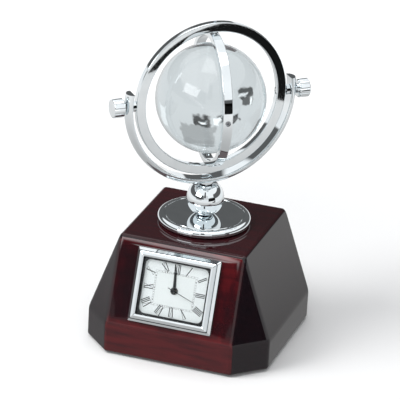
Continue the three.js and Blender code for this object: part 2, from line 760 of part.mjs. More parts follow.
piece(insert, 'clock_bezel', 'chrome', bezel());
piece(insert, 'clock_glass', 'glass', plate(innerWidth, innerHeight, INNER_ROUND, glassBack, glassFront));
piece(insert, 'dial_spacer', 'black', spacerFrame());
piece(insert, 'dial', 'dial', cut(
  plate(innerWidth, innerHeight, INNER_ROUND, dialBack, dialFront),
  rod(dialHole, 0, dialFront + 1),
));
piece(insert, 'movement_case', 'plastic', movementCase());
piece(insert, 'grip_ring', 'rubber', gripRing());

// Places of the arbors, from the pitch circles of the wheels that mesh

function polar(distance, degrees, [x, y] = [0, 0]) {
  return [x + distance * cos(radians(degrees)), y + distance * sin(radians(degrees))];
}

function meshing(teeth, leaves, module) {
  return (teeth + leaves) * module / 2;
}

const thirdReach = meshing(THIRD_TEETH, PINION_LEAVES, TRAIN_MODULE);
const centreModule = 2 * thirdReach / (CENTRE_TEETH + PINION_LEAVES);
const minuteReach = meshing(MINUTE_TEETH, CANNON_LEAVES, MOTION_MODULE);
const hourModule = 2 * minuteReach / (HOUR_TEETH + MINUTE_LEAVES);
const intermediateReach = meshing(SECOND_TEETH, PINION_LEAVES, TRAIN_MODULE);
const thirdPlace = polar(thirdReach, THIRD_ANGLE);
const intermediatePlace = polar(intermediateReach, INTERMEDIATE_ANGLE);
const rotorReach = meshing(INTERMEDIATE_TEETH, PINION_LEAVES, TRAIN_MODULE);
const rotorPlace = polar(rotorReach, ROTOR_ANGLE, intermediatePlace);
const minutePlace = polar(minuteReach, MINUTE_ANGLE);
const setReach = meshing(MINUTE_TEETH, SET_LEAVES, MOTION_MODULE);
const setPlace = polar(setReach, SET_ANGLE, minutePlace);

// Wheels lie in layers behind the main plate.
function layer(number) {
  const front = plateBack - SEAT_GAP - number * LAYER_PITCH;
  return { front, back: front - WHEEL_THICK };
}

// A pinion is a little longer than the wheel it drives.
function pinionSpan(number) {
  const { front, back } = layer(number);
  return { front: front + PINION_OVERLAP, back: back - PINION_OVERLAP };
}

const magnetFront = layer(5).back - TRAIN_GAP;
const magnetBack = magnetFront - MAGNET_HEIGHT;
const statorFront = magnetFront - (MAGNET_HEIGHT - STATOR_THICK) / 2;
const statorBack = statorFront - STATOR_THICK;
const bridgeFront = magnetBack - TRAIN_GAP;
const bridgeBack = bridgeFront - BRIDGE_THICK;
const bearing = ARBOR_RADIUS + RUN_GAP;

// The angle a wheel is turned to so that a gap faces a tooth of its neighbour at the given angle.
function gapTurn(teeth, degrees) {
  return radians(degrees) + PI / teeth;
}

// Hands

function handBlade(reach, width, tail, hub, hole, low) {
  const blade = outline([
    [-width / 2, -tail], [width / 2, -tail], [width / 2, reach * HAND_SHOULDER],
    [width * HAND_TIP, reach], [-width * HAND_TIP, reach], [-width / 2, reach * HAND_SHOULDER],
  ]);
  return cut(
    join(prism(blade, low, low + HAND_THICK), rod(hub, low, low + HAND_THICK)),
    rod(hole, low - 1, low + 1),
  );
}

const [cannonBore, hourBore] = tubeRadii;
const cannonRadius = cannonBore + TUBE_WALL;
const hourRadius = hourBore + TUBE_WALL;
const hands = [
  ['hour_hand', HOUR_REACH, HOUR_HAND_WIDTH, 0, hourRadius, hourBack, HOUR_TURN],
  ['minute_hand', MINUTE_REACH, MINUTE_HAND_WIDTH, 0, cannonRadius, minuteBack, MINUTE_TURN],
  ['second_hand', SECOND_REACH, SECOND_HAND_WIDTH, SECOND_TAIL, ARBOR_RADIUS, secondBack, SECOND_TURN],
];
hands.forEach(([name, reach, width, tail, fit, low, turn]) => {
  const hole = fit + RUN_GAP;
  const blade = handBlade(reach, width, tail, hole + HUB_RIM, hole, low);
  piece(insert, name, 'black', blade.rotateZ(radians(turn)));
});

// Motion work: hour wheel, cannon pinion, minute wheel and the setting knob

function placed(geometry, [x, y]) {
  return geometry.translate(x, y, 0);
}

function hourWheel() {
  const toothed = wheel(HOUR_TEETH, hourModule, gapTurn(HOUR_TEETH, MINUTE_ANGLE), layer(0));
  const pipe = rod(hourRadius, layer(0).back, hourBack + HAND_THICK);
  return cut(join(toothed, pipe), rod(hourBore, layer(0).back - 1, hourBack + 1));
}

function cannonPinion() {
  const leaves = wheel(CANNON_LEAVES, MOTION_MODULE, gapTurn(CANNON_LEAVES, MINUTE_ANGLE), pinionSpan(1));
  const pipe = rod(cannonRadius, layer(2).back - SEAT_GAP, minuteBack + HAND_THICK);
  return cut(join(leaves, pipe), rod(cannonBore, layer(3).back, minuteBack + 1));
}

function minuteWheel() {
  const inward = radians(MINUTE_ANGLE) + PI;
  return placed(join(
    wheel(MINUTE_TEETH, MOTION_MODULE, inward, layer(1)),
    wheel(MINUTE_LEAVES, hourModule, inward, { front: layer(0).front, back: layer(1).front }),
    rod(ARBOR_RADIUS, layer(1).back, plateBack + PLATE_THICK / 2),
  ), minutePlace);
}

function settingKnob() {
  const back = -CASE_DEPTH - SEAT_GAP;
  // The minute wheel's nearest tooth to the setting pinion decides the pinion's turn.
  const step = 2 * PI / MINUTE_TEETH;
  const facing = radians(SET_ANGLE) - radians(MINUTE_ANGLE) - PI;
  const lag = facing - Math.round(facing / step) * step;
  const turn = radians(SET_ANGLE) + PI + PI / SET_LEAVES + lag * MINUTE_TEETH / SET_LEAVES;
  return placed(join(
    wheel(SET_LEAVES, MOTION_MODULE, turn, pinionSpan(1)),
    rod(SET_ARBOR_RADIUS, back - 0.5, plateBack + PLATE_THICK / 2),
    prism(
      flutedOutline(SET_KNOB_RADIUS, SET_KNOB_FLUTES, SET_KNOB_FLUTE_DEPTH),
      back - SET_KNOB_HEIGHT,
      back,
    ),
  ), setPlace);
}

piece(insert, 'hour_wheel', 'nylon', hourWheel());
piece(insert, 'cannon_pinion', 'brass', cannonPinion());
piece(insert, 'minute_wheel', 'nylon', minuteWheel());
piece(insert, 'setting_knob', 'plastic', settingKnob());

// Going train: centre, third, second and intermediate wheels, and the rotor

function centreWheel() {
  const { front, back } = layer(2);
  const toothed = wheel(CENTRE_TEETH, centreModule, gapTurn(CENTRE_TEETH, THIRD_ANGLE), layer(2));
  return cut(toothed, rod(cannonRadius + RUN_GAP, back - 1, front + 1));
}

function thirdWheel() {
  const inward = radians(THIRD_ANGLE) + PI;
  return placed(join(
    wheel(THIRD_TEETH, TRAIN_MODULE, inward + PI / THIRD_TEETH, layer(3)),
    wheel(PINION_LEAVES, centreModule, inward, { front: pinionSpan(2).front, back: layer(3).front }),
    rod(ARBOR_RADIUS, bridgeFront - BRIDGE_THICK / 2, plateBack + PLATE_THICK / 2),
  ), thirdPlace);
}

function secondWheel() {
  const facing = radians(THIRD_ANGLE);
  return join(
    wheel(SECOND_TEETH, TRAIN_MODULE, radians(INTERMEDIATE_ANGLE), layer(4)),
    wheel(PINION_LEAVES, TRAIN_MODULE, facing, { front: pinionSpan(3).front, back: layer(4).front }),
    rod(ARBOR_RADIUS, layer(4).back - 0.1, secondBack + HAND_THICK),
  );
}

function intermediateWheel() {
  const inward = INTERMEDIATE_ANGLE + 180;
  return placed(join(
    wheel(INTERMEDIATE_TEETH, TRAIN_MODULE, radians(ROTOR_ANGLE), layer(5)),
    wheel(PINION_LEAVES, TRAIN_MODULE, gapTurn(PINION_LEAVES, inward), {
      front: pinionSpan(4).front, back: layer(5).front,
    }),
    rod(ARBOR_RADIUS, bridgeFront - BRIDGE_THICK / 2, layer(5).front),
  ), intermediatePlace);
}

function rotor() {
  return placed(join(
    wheel(PINION_LEAVES, TRAIN_MODULE, gapTurn(PINION_LEAVES, ROTOR_ANGLE + 180), pinionSpan(5)),
    rod(MAGNET_RADIUS, magnetBack, magnetFront),
    rod(ARBOR_RADIUS, bridgeFront - BRIDGE_THICK / 2, layer(5).back),
  ), rotorPlace);
}

piece(insert, 'centre_wheel', 'nylon', centreWheel());
piece(insert, 'third_wheel', 'nylon', thirdWheel());
piece(insert, 'second_wheel', 'nylon', secondWheel());
piece(insert, 'intermediate_wheel', 'nylon', intermediateWheel());
piece(insert, 'rotor', 'steel', rotor());

// Main plate and train bridge

function mainPlate() {
  const bearings = [thirdPlace, minutePlace].map((place) => placed(
    rod(bearing, plateBack - 1, plateBack + PLATE_THICK / 2 + SEAT_GAP),
    place,
  ));
  const setBearing = placed(
    rod(SET_ARBOR_RADIUS + RUN_GAP, plateBack - 1, plateBack + PLATE_THICK / 2 + SEAT_GAP),
    setPlace,
  );
  return cut(
    rod(caseFit, plateBack, flangeFront, CASE_SIDES),
    rod(dialHole, plateBack - 1, flangeFront + 1),
    ...bearings,
    setBearing,
  );
}

// An arm with round ends between two places.
function arm([x1, y1], [x2, y2]) {
  const turn = atan2(y2 - y1, x2 - x1);
  const length = hypot(x2 - x1, y2 - y1);
  const shape = new THREE.Shape();
  shape.absarc(length, 0, BRIDGE_ARM, -PI / 2, PI / 2);
  shape.absarc(0, 0, BRIDGE_ARM, PI / 2, 3 * PI / 2);
  return prism(shape, bridgeBack, bridgeFront).rotateZ(turn).translate(x1, y1, 0);
}

function trainBridge() {
  const [right, left] = PILLAR_PLACES;
  const pillars = PILLAR_PLACES.map((place) => (
    placed(rod(PILLAR_RADIUS, bridgeFront - 0.2, plateBack - SEAT_GAP), place)
  ));
  const holes = [thirdPlace, intermediatePlace, rotorPlace].map((place) => (
    placed(rod(bearing, bridgeFront - BRIDGE_THICK / 2 - SEAT_GAP, bridgeFront + 1), place)
  ));
  return cut(join(
    arm(right, thirdPlace), arm(right, intermediatePlace), arm(left, intermediatePlace),
    arm(intermediatePlace, rotorPlace), ...pillars,
  ), ...holes);
}

piece(insert, 'main_plate', 'plastic', mainPlate());
piece(insert, 'train_bridge', 'plastic', trainBridge());

// Stepping motor: stator, core and coil

const [rotorX, rotorY] = rotorPlace;
const boreRadius = MAGNET_RADIUS + MAGNET_GAP;
const barHalf = boreRadius + STATOR_RIM;
const coilY = rotorY - COIL_DROP;
const coilHalf = STATOR_WIDTH / 2 - STATOR_LEG - SEAT_GAP;
const coreFront = statorBack - SEAT_GAP;
const coilAxis = coreFront - CORE_THICK / 2;

function stator() {
  const span = STATOR_WIDTH / 2;
  const foot = coilY - CORE_WIDTH / 2;
  const inner = span - STATOR_LEG;
  const bar = rotorY - barHalf;
  const shape = outline([
    [-span, foot], [-inner, foot], [-inner, bar], [inner, bar], [inner, foot], [span, foot],
    [span, rotorY + barHalf], [-span, rotorY + barHalf],
  ]);
  const bore = rod(boreRadius, statorBack - 1, statorFront + 1, PIN_SIDES, rotorX, rotorY);
  return cut(prism(shape, statorBack, statorFront), bore);
}

function coil() {
  const half = coilHalf;
  const spool = turned([
    [0, -half], [COIL_RADIUS, -half], [COIL_RADIUS, COIL_FLANGE - half],
    [WINDING_RADIUS, COIL_FLANGE - half], [WINDING_RADIUS, half - COIL_FLANGE],
    [COIL_RADIUS, half - COIL_FLANGE], [COIL_RADIUS, half], [0, half],
  ], PIN_SIDES).rotateY(PI / 2).translate(0, coilY, coilAxis);
  const gap = 2 * SEAT_GAP;
  const low = coilAxis - CORE_THICK / 2 - SEAT_GAP;
  return cut(spool, block(STATOR_WIDTH, CORE_WIDTH + gap, low, coreFront + SEAT_GAP, 0, coilY));
}

piece(insert, 'stator', 'steel', stator());
piece(insert, 'coil_core', 'steel', block(
  STATOR_WIDTH, CORE_WIDTH, coreFront - CORE_THICK, coreFront, 0, coilY,
));
piece(insert, 'coil', 'copper', coil());

// Battery, contacts and circuit

const batteryPlace = polar(caseFit - BATTERY_RADIUS - SEAT_GAP, BATTERY_ANGLE);
const batteryFront = layer(3).back - 2 * SEAT_GAP - CONTACT_THICK;
const batteryBack = batteryFront - BATTERY_HEIGHT;

function battery() {
  const shoulder = batteryFront - BATTERY_STEP;
  return placed(turned([
    [0, batteryBack],
    [BATTERY_RADIUS, batteryBack],
    [BATTERY_RADIUS, shoulder],
    [BATTERY_RADIUS - 1, shoulder],
    [BATTERY_RADIUS - 1, batteryFront],
    [0, batteryFront],
  ], BALL_SIDES), batteryPlace);
}

function contact(front) {
  const strip = outline(roundedLoop(2 * BATTERY_RADIUS, CONTACT_WIDTH, CONTACT_WIDTH / 3, 2));
  return placed(prism(strip, front - CONTACT_THICK, front), batteryPlace);
}

const boardBack = bridgeFront - BOARD_THICK;
const boardMiddle = [BOARD_LEFT + BOARD_WIDTH / 2, BOARD_BOTTOM + BOARD_HEIGHT / 2];
const canY = boardMiddle[1] + BOARD_HEIGHT / 2 - CRYSTAL_CAN_LENGTH / 2;
const canAxis = boardBack - SEAT_GAP - CRYSTAL_CAN_RADIUS;
const chipY = BOARD_BOTTOM + CHIP_SIZE / 2;

piece(insert, 'battery', 'steel', battery());
piece(insert, 'battery_contact_front', 'brass', contact(batteryFront + SEAT_GAP + CONTACT_THICK));
piece(insert, 'battery_contact_back', 'brass', contact(batteryBack - SEAT_GAP));
piece(insert, 'circuit_board', 'board', block(
  BOARD_WIDTH, BOARD_HEIGHT, boardBack, bridgeFront, ...boardMiddle,
));
piece(insert, 'crystal_can', 'steel', rod(
  CRYSTAL_CAN_RADIUS, -CRYSTAL_CAN_LENGTH / 2, CRYSTAL_CAN_LENGTH / 2,
).rotateX(PI / 2).translate(boardMiddle[0], canY, canAxis));
piece(insert, 'timer_chip', 'black', block(
  CHIP_SIZE, CHIP_SIZE, boardBack - SEAT_GAP - CHIP_THICK, boardBack - SEAT_GAP, boardMiddle[0], chipY,
));

// Back cover with the battery's hatch

const coverBack = COVER_RECESS - CASE_DEPTH;
const coverFront = coverBack + COVER_THICK;
const hatchRadius = BATTERY_RADIUS + HATCH_RIM - SEAT_GAP;
const setHole = SET_ARBOR_RADIUS + RUN_GAP;

piece(insert, 'back_cover', 'plastic', cut(
  rod(caseFit, coverBack, coverFront, CASE_SIDES),
  rod(hatchRadius + SEAT_GAP, coverBack - 1, coverFront + 1, BALL_SIDES, ...batteryPlace),
  rod(setHole, coverBack - 1, coverFront + 1, PIN_SIDES, ...setPlace),
));
piece(insert, 'battery_hatch', 'plastic', cut(
  rod(hatchRadius, coverBack, coverFront, BALL_SIDES, ...batteryPlace),
  block(HATCH_SLOT, hatchRadius, coverBack - 1, coverBack + COVER_THICK / 2, ...batteryPlace),
));

export default clock;
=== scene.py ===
"""Looks of the crystal globe clock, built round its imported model.

Lengths are in millimetres until a mesh is made, and in metres from then on. The clock stands at
the origin with +Z up and its dial towards -Y.
"""
import json
import math

import bmesh
import bpy
from mathutils import Matrix, Vector

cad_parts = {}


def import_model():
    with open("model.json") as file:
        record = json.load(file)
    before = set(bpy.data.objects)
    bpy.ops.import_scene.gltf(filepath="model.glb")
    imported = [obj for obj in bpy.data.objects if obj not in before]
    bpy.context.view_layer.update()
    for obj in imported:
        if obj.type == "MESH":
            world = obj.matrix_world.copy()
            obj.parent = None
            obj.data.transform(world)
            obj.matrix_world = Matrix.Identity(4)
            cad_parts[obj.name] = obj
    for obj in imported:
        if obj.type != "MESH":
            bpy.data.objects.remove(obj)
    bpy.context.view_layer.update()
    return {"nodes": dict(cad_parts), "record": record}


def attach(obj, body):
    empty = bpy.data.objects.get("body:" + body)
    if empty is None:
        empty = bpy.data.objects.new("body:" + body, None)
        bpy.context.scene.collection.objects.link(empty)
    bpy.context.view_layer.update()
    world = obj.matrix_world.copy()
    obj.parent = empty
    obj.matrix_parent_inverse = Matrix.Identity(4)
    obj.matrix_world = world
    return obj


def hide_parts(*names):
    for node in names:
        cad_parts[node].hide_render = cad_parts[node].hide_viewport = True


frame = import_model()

MM = 0.001
MERGE_DISTANCE = 1e-7  # metres
CUT_PAST = 1  # how far a cut goes past a face
FLAT_ANGLE = 0.005  # radians, below which two faces count as one flat
FLAT_WEIGHT = 100  # how strongly large faces set the shading at their edges
ROUND_PROFILE = 0.5  # of a bevel

# Sides of round pieces, and steps along their curves
ROD_SIDES = 32
HUB_SIDES = 48
PAD_SIDES = 64
COUNTERBORE_SIDES = 64
POCKET_SIDES = 96
BALL_SIDES = 96
DISC_SIDES = 160
GLOBE_SIDES = 160
RING_SIDES = 192
EDGE_STEPS = 4
CORNER_STEPS = 8
PLINTH_ROUND_STEPS = 8
FLUTE_STEPS = 12
DISC_NOSE_STEPS = 16
DOME_STEPS = 18
BALL_STEPS = 40
GLOBE_STEPS = 96
CRADLE_STEPS = 140

# Angles in degrees above which an edge stays sharp
SHARP = 40
PLINTH_SHARP = 30
DISC_SHARP = 35
RING_SHARP = 50
BEZEL_SHARP = 24
DIAL_SHARP = 30  # of the print, the panel and the hands

# Camera, fitted to the photograph's 400 x 400 frame
IMAGE_SIZE = 400
FOCAL_PIXELS = 3120
SENSOR_WIDTH = 36
CAMERA_AZIMUTH = 17.85
CAMERA_ELEVATION = 23.83
CAMERA_ROLL = 3.13
CAMERA_DISTANCE = 1679
CAMERA_TARGET = (-2.9, 0, 75.36)
CAMERA_REACH = 20  # how far it sees, in metres

# Plinth
PLINTH_WIDTH = 103
PLINTH_TOP = 70.3
PLINTH_CORNER = 16
BAND_TOP = 17.5
PLINTH_HEIGHT = 63.7
PLINTH_FOOT = 1
PLINTH_ROUND = 1.5  # from an edge to where its rounding starts
CROWN_RISE = 0.6  # the front slope's slight bulge
CROWN_ROLL = 7  # from its edges to where it is flat
CROWN_START = 2
CROWN_STEPS = 6
POCKET_RADIUS = 18.5
POCKET_DEPTH = 17
BOLT_HOLE = 2.8
COUNTERBORE_RADIUS = 8.3
COUNTERBORE_DEPTH = 9

# Disc and ball
DISC_RADIUS = 25.4
DISC_THICK = 4.5
DISC_NOSE = 2.2
DISC_GROOVE_INSET = 3.4
DISC_GROOVE_WIDTH = 0.8
DISC_GROOVE_DEPTH = 0.3
DISC_GROOVE_SLANT = 0.2  # across each of its sides
BALL_RADIUS = 10.2
BALL_FOOT = 9.35
BALL_CROWN = 8.05
BOLT_HOLE_DEPTH = 6.8
SCREW_HOLE_DEPTH = 8.3

# Rings, about the globe's middle
GLOBE_HEIGHT = 135.3
SWIVEL_TURN = 42
MERIDIAN_TURN = -98.8
CRADLE_INNER = 45.6
CRADLE_OUTER = 49.1
CRADLE_WIDTH = 7.6
CRADLE_END = 7.5
CRADLE_EDGE = 0.5
PAD_RADIUS = 4
PAD_FOOT = 49.4
PAD_EDGE = 0.3
RECESS_RADIUS = 3.3
RECESS_FLOOR = 47.5
TILT_INNER = 37.8
TILT_OUTER = 43
TILT_WIDTH = 3.9
MERIDIAN_INNER = 33.2
MERIDIAN_OUTER = 36.7
MERIDIAN_WIDTH = 5.2
RING_EDGE = 0.5
GLOBE_RADIUS = 29.6
GLOBE_POLE = 89.9  # latitude at which a small cap closes the mesh
SHAFT_HOLE = 1.8
PIN_HOLE = 1.5
PIN_DEPTH = 3.3

# Knobs, along the axis that they share
KNOB_RADIUS = 5.1
KNOB_START = 50.2
KNOB_LENGTH = 6.2
KNOB_FLUTES = 12
KNOB_FLUTE_DEPTH = 0.35
KNOB_FLUTE_SHARE = 0.3  # of the way from one flute to the next
KNOB_EDGE = 0.6
NECK_RADIUS = 2.7
NECK_START = 49.4
SHAFT_RADIUS = 1.5
SHAFT_START = 38.1

# Clock insert, along and across the plinth's front slope
BEZEL_WIDTH = 46.4
BEZEL_HEIGHT = 40
BEZEL_FOOT = 0.3
BEZEL_SEAT_GAP = 0.15  # round the bezel, where it sits in the bulge
BEZEL_WALL = 1.7
BEZEL_STEP = 3.3
BEZEL_STEP_INSET = 1.3
BEZEL_STEP_LAND = 0.6
BEZEL_CORNER = 0.6
BEZEL_RIDGE = 4.15  # where the ridge's outer facet starts, above the slope
BEZEL_CREST_INSET = 3.4
BEZEL_CREST = 4.75
BEZEL_LIP = 4.35
BEZEL_FRAME = 4.3
BEZEL_REBATE = 3.2
LIP_BACK = 4.2
REBATE_ROUND = 1.7
NOTCH_WIDTH = 4
NOTCH_DEPTH = 0.9
NOTCH_OFFSET = -1.9
DIAL_FRONT = 1.6
DIAL_WIDTH = 35.6
DIAL_HEIGHT = 29.2
DIAL_HOLE = 1.65
PANEL_WIDTH = 21.6
PANEL_HEIGHT = 17.2
PANEL_ROUND = 0.3

# Print on the dial
PRINT_RISE = 0.03
PRINT_LAYER = 0.004  # between strokes that cross
NUMERALS = ("I", "II", "III", "IIII", "V", "VI", "VII", "VIII", "IX", "X", "XI", "XII")
HOUR_STEP = 30  # degrees
MINUTE_STEP = 6
NUMERAL_HEIGHT = 5
NUMERAL_INSET_X = 3.3
NUMERAL_INSET_Y = 3
LETTER_WIDTH = {"I": 0.85, "V": 1.9, "X": 2}
LETTER_MARGIN = 0.2
THICK_STROKE = 0.48
THIN_STROKE = 0.18
SERIF_STROKE = 0.12
TRACK_GAP = 0.85
TRACK_LINE = 0.07
MINUTE_DOT = 0.3
HOUR_DOT = 0.5

# Hands
HAND_THICK = 0.2
HAND_SHOULDER = 0.35  # of the reach, where a hand starts to narrow
HAND_CAP = 0.12  # over the arbor, on the front hand
CAPPED_HAND = "second"

# Each hand: reach, tail, width, width at the tip, hub, hole, back face, degrees left of twelve
HANDS = {
    "hour": (9.9, 0, 1.5, 1.2, 2, 1.65, 1.9, 4.5),
    "minute": (13.9, 0, 0.9, 0.5, 1.45, 1.1, 2.3, 5.2),
    "second": (12.7, 3.6, 0.3, 0.2, 0.9, 0.55, 2.7, -109.6),
}

# Land on the globe, as coarse outlines in degrees of longitude and latitude
LAND_OUTLINES = {
    "north_america": [
        (-165, 62), (-150, 70), (-120, 70), (-95, 72), (-80, 66), (-62, 56), (-56, 50), (-70, 43),
        (-80, 32), (-81, 26), (-90, 30), (-97, 26), (-96, 19), (-88, 16), (-83, 9), (-92, 15),
        (-106, 22), (-115, 31), (-124, 41), (-128, 52), (-145, 60),
    ],
    "south_america": [
        (-78, 8), (-62, 10), (-50, 1), (-36, -6), (-40, -21), (-52, -32), (-62, -40), (-67, -52),
        (-74, -50), (-72, -30), (-77, -14), (-81, -4),
    ],
    "africa": [
        (-16, 14), (-10, 31), (10, 37), (31, 31), (37, 20), (50, 12), (41, -3), (35, -22),
        (22, -34), (14, -22), (9, 3), (-8, 5),
    ],
    "eurasia": [
        (-9, 38), (-3, 48), (8, 55), (12, 66), (28, 71), (60, 69), (80, 73), (110, 74), (140, 72),
        (178, 67), (160, 58), (138, 52), (130, 42), (121, 35), (121, 25), (108, 18), (103, 3),
        (97, 17), (88, 22), (79, 8), (72, 20), (60, 25), (52, 14), (43, 14), (35, 31), (36, 37),
        (26, 39), (22, 37), (14, 42), (3, 43),
    ],
    "australia": [
        (114, -24), (131, -12), (142, -11), (153, -27), (147, -38), (135, -34), (116, -34),
    ],
    "greenland": [(-55, 62), (-44, 60), (-22, 71), (-25, 81), (-60, 79)],
}
LAND_TURN = 62
LAND_RISE = 0.04
LAND_THICK = 0.03
LAND_EDGE = 5  # in degrees: each pass halves the edges that are longer
LAND_PASSES = 4

# Noise in the finishes: scale, detail, stretch along each axis, roughness
EVEN = (1, 1, 1)
NOISE_ROUGHNESS = 0.5
CHROME_HAZE = (900, 3, (1, 1, 0.15))
CHROME_PATCHES = (120, 2)
WOOD_GRAIN = (260, 6, (0.12, 1, 1), 0.6)
WOOD_BLOTCHES = (110, 3, (1, 1, 0.4))
WOOD_FLAME = (45, 2, (1, 1, 0.25))
FELT_FIBRE = (2600, 5)
CRYSTAL_MARKS = (300, 3)
LAND_FROST = (1500, 5)
PANE_MARKS = (60, 2)
TABLE_MOTTLE = (3, 2)

# Tones, dark and light, between which a finish goes over the middle of its noise
TONE_SPAN = (0.3, 0.7)
CHROME_TONES = ((0.79, 0.83, 0.85), (0.85, 0.885, 0.90))
FELT_TONES = ((0.006, 0.014, 0.009), (0.02, 0.035, 0.024))
FROST_TONES = ((0.80, 0.83, 0.85), (0.93, 0.95, 0.96))
TABLE_TONES = ((0.79, 0.79, 0.795), (0.81, 0.81, 0.81))

# Lowest and highest roughness, and the frost's lowest and highest opacity
CHROME_ROUGH = (0.015, 0.05)
WOOD_ROUGH = (0.3, 0.45)
CRYSTAL_ROUGH = (0.0, 0.012)
PANE_ROUGH = (0.01, 0.03)
FROST_OPACITY = (0.01, 0.065)

# Bumps: strength, depth in metres
FELT_BUMP = (0.8, 0.0004)
GRAIN_BUMP = (0.25, 0.00002)
FROST_BUMP = (0.4, 0.00005)

# How much of the light the clock's pane reflects from the front and from the side
PANE_MIRROR = 0.012
PANE_GLANCE = 0.6
PANE_FALL = 4  # how fast that falls off between the two

# Where the veneer's face becomes a front, a level or a sloping one, by the parts of its direction
VENEER_FRONT = (0.78, 0.9)
VENEER_LEVEL = (0.6, 0.9)
VENEER_SLOPING = (0.1, 0.28)

# How red the veneer is: everywhere, on the band and the front slope's painted highlight strips, on
# top and in the flame on the front
RED_BASE = 0.06
RED_BAND_AND_HIGHLIGHTS = 0.47
RED_TOP = 0.27
RED_FLAME = (0.1, 0.28)
FLAME_SPAN = (0.012, 0.058)  # metres across the front
FLAME_WANDER = 0.03
BLOTCH_SPAN = (0.35, 0.7)
BLOTCH_SHARE = (0.6, 1.9)
GRAIN_SHARE = (0.75, 1.25)
WOOD_COLOURS = (
    (0.0, (0.0047, 0.0055, 0.0073)),
    (0.4, (0.034, 0.0045, 0.0065)),
    (1.0, (0.13, 0.010, 0.012)),
)

# Plain finishes: dark and light tone, span of roughness, metallic, scale and stretch of the grain
GRAIN_DETAIL = 4
ROUND_GRAIN = (1, 1, 0.1)  # drawn out along an arbor
COIL_GRAIN = (6, 0.1, 0.1)
PANEL_GRAIN = (1, 0.2, 1)
PLAIN_FINISHES = {
    "steel": ((0.30, 0.31, 0.32), (0.42, 0.43, 0.45), (0.25, 0.4), 1.0, 500, ROUND_GRAIN),
    "dial_card": ((0.70, 0.72, 0.725), (0.75, 0.77, 0.775), (0.5, 0.65), 0.0, 900),
    "black": ((0.006, 0.006, 0.007), (0.016, 0.016, 0.018), (0.3, 0.45), 0.0, 800),
    "rubber": ((0.008, 0.008, 0.008), (0.02, 0.02, 0.02), (0.7, 0.9), 0.0, 900),
    "case_plastic": ((0.016, 0.018, 0.02), (0.028, 0.03, 0.033), (0.4, 0.55), 0.0, 1200),
    "nylon": ((0.62, 0.60, 0.53), (0.76, 0.74, 0.68), (0.35, 0.5), 0.0, 600),
    "brass": ((0.48, 0.28, 0.07), (0.62, 0.39, 0.12), (0.2, 0.35), 1.0, 500, ROUND_GRAIN),
    "copper": ((0.32, 0.09, 0.03), (0.55, 0.19, 0.07), (0.25, 0.4), 1.0, 3000, COIL_GRAIN),
    "board": ((0.008, 0.07, 0.028), (0.016, 0.13, 0.05), (0.3, 0.45), 0.0, 400),
    "dial_print": ((0.02, 0.02, 0.022), (0.05, 0.05, 0.055), (0.5, 0.7), 0.0, 1500),
    "dial_panel": ((0.68, 0.70, 0.70), (0.74, 0.76, 0.76), (0.45, 0.6), 0.0, 2500, PANEL_GRAIN),
}

# Stage, in metres: a pale table that stops short on the right, and a studio round it
TABLE = ((-1.2, -0.9), (1.4, -0.9), (1.4, -0.2), (0.33, -0.2), (0.33, 1.6), (-1.2, 1.6))
TABLE_GLOW = 0.3  # keeps the table white far from the clock
TABLE_GLOW_FROM = (0.12, 0.45)
SOFT_EDGE = 0.02  # blur along the edges of what chrome and crystal show
ROOM_GAP = (0.13, 0.52)  # the dark room between table and ceiling, as sines of elevation
ROOM_DIM = 0.12
CEILING = 1.1
ROOM_FILL = 0.44
STUDIO_TINT = (0.965, 0.985, 1, 1)
CAMERA_WHITE = 1.05

# The table as chrome sees it, darker near the clock as a painted shadow: distance from the clock,
# brightness
TABLE_MIRRORED = ((0.08, 0.50), (0.22, 0.68), (0.35, 0.83), (0.60, 0.97))

# The backdrop as crystal sees it: the line on which it lies, how bright it is there and beside it
BACKDROP = (-0.28, 0.87, -0.40)
BACKDROP_BRIGHT = 0.72
BACKDROP_SIDE = 0.27
BACKDROP_EDGE = (0, 0.5)

# How uneven the stands and lamps look
BACKDROP_WAVE = 0.2
BACKDROP_WAVE_SCALE = 7.0
BACKDROP_WAVE_DETAIL = 2.0

# Dark stands in front of the backdrop: azimuth, elevation, half width, half height, darkness
BACKDROP_STANDS = (
    (102, -4, 0.10, 0.08, 0.93),
    (122, -6, 0.13, 0.05, 0.93),
    (139, -22, 0.13, 0.11, 0.88),
    (98, 15, 0.24, 0.25, 0.40),
)

# Lamps in front of the backdrop: azimuth, elevation, half width, half height, brightness
BACKDROP_LAMPS = (
    (103, -4, 0.025, 0.025, 1.3),
    (113, -4, 0.05, 0.06, 1.2),
    (144, -17, 0.035, 0.035, 1.3),
    (135, -23, 0.10, 0.012, 1.1),
    (58, 5, 0.12, 0.20, 1.0),
)

# Dark cards as chrome sees them: azimuth, half width, sines of the lowest and highest elevation,
# and the share of light left
DARK_CARDS = (
    (-22, 13, -1, 0.2, 0.01),
    (-42, 10, -0.11, 0.2, 0.01),
    (-112, 18, 0.02, 0.31, 0.4),
    (-74, 5, 0.3, 0.8, 0.02),
)

# Softboxes as chrome sees them: azimuth, elevation, half width, half height, brightness
MIRRORED_BOXES = (
    (-36, 38, 0.30, 0.36, 1.1),
    (-66, 20, 0.26, 0.50, 0.8),
    (-120, 28, 0.30, 0.15, 6),
    (0, 88, 0.30, 0.30, 3.5),
)

# Softboxes that light the scene: place, aim, size, power
LAMPS = {
    "key": ((-0.55, -0.45, 0.85), (0, 0, 0.08), 0.5, 9),
    "top": ((0.05, 0.1, 1.0), (0, 0, 0.1), 0.9, 4),
    "front": ((0.35, -1.3, 0.55), (0, -0.04, 0.05), 0.8, 5),
}


def vector(values):
    return Vector(values) * MM


# Places

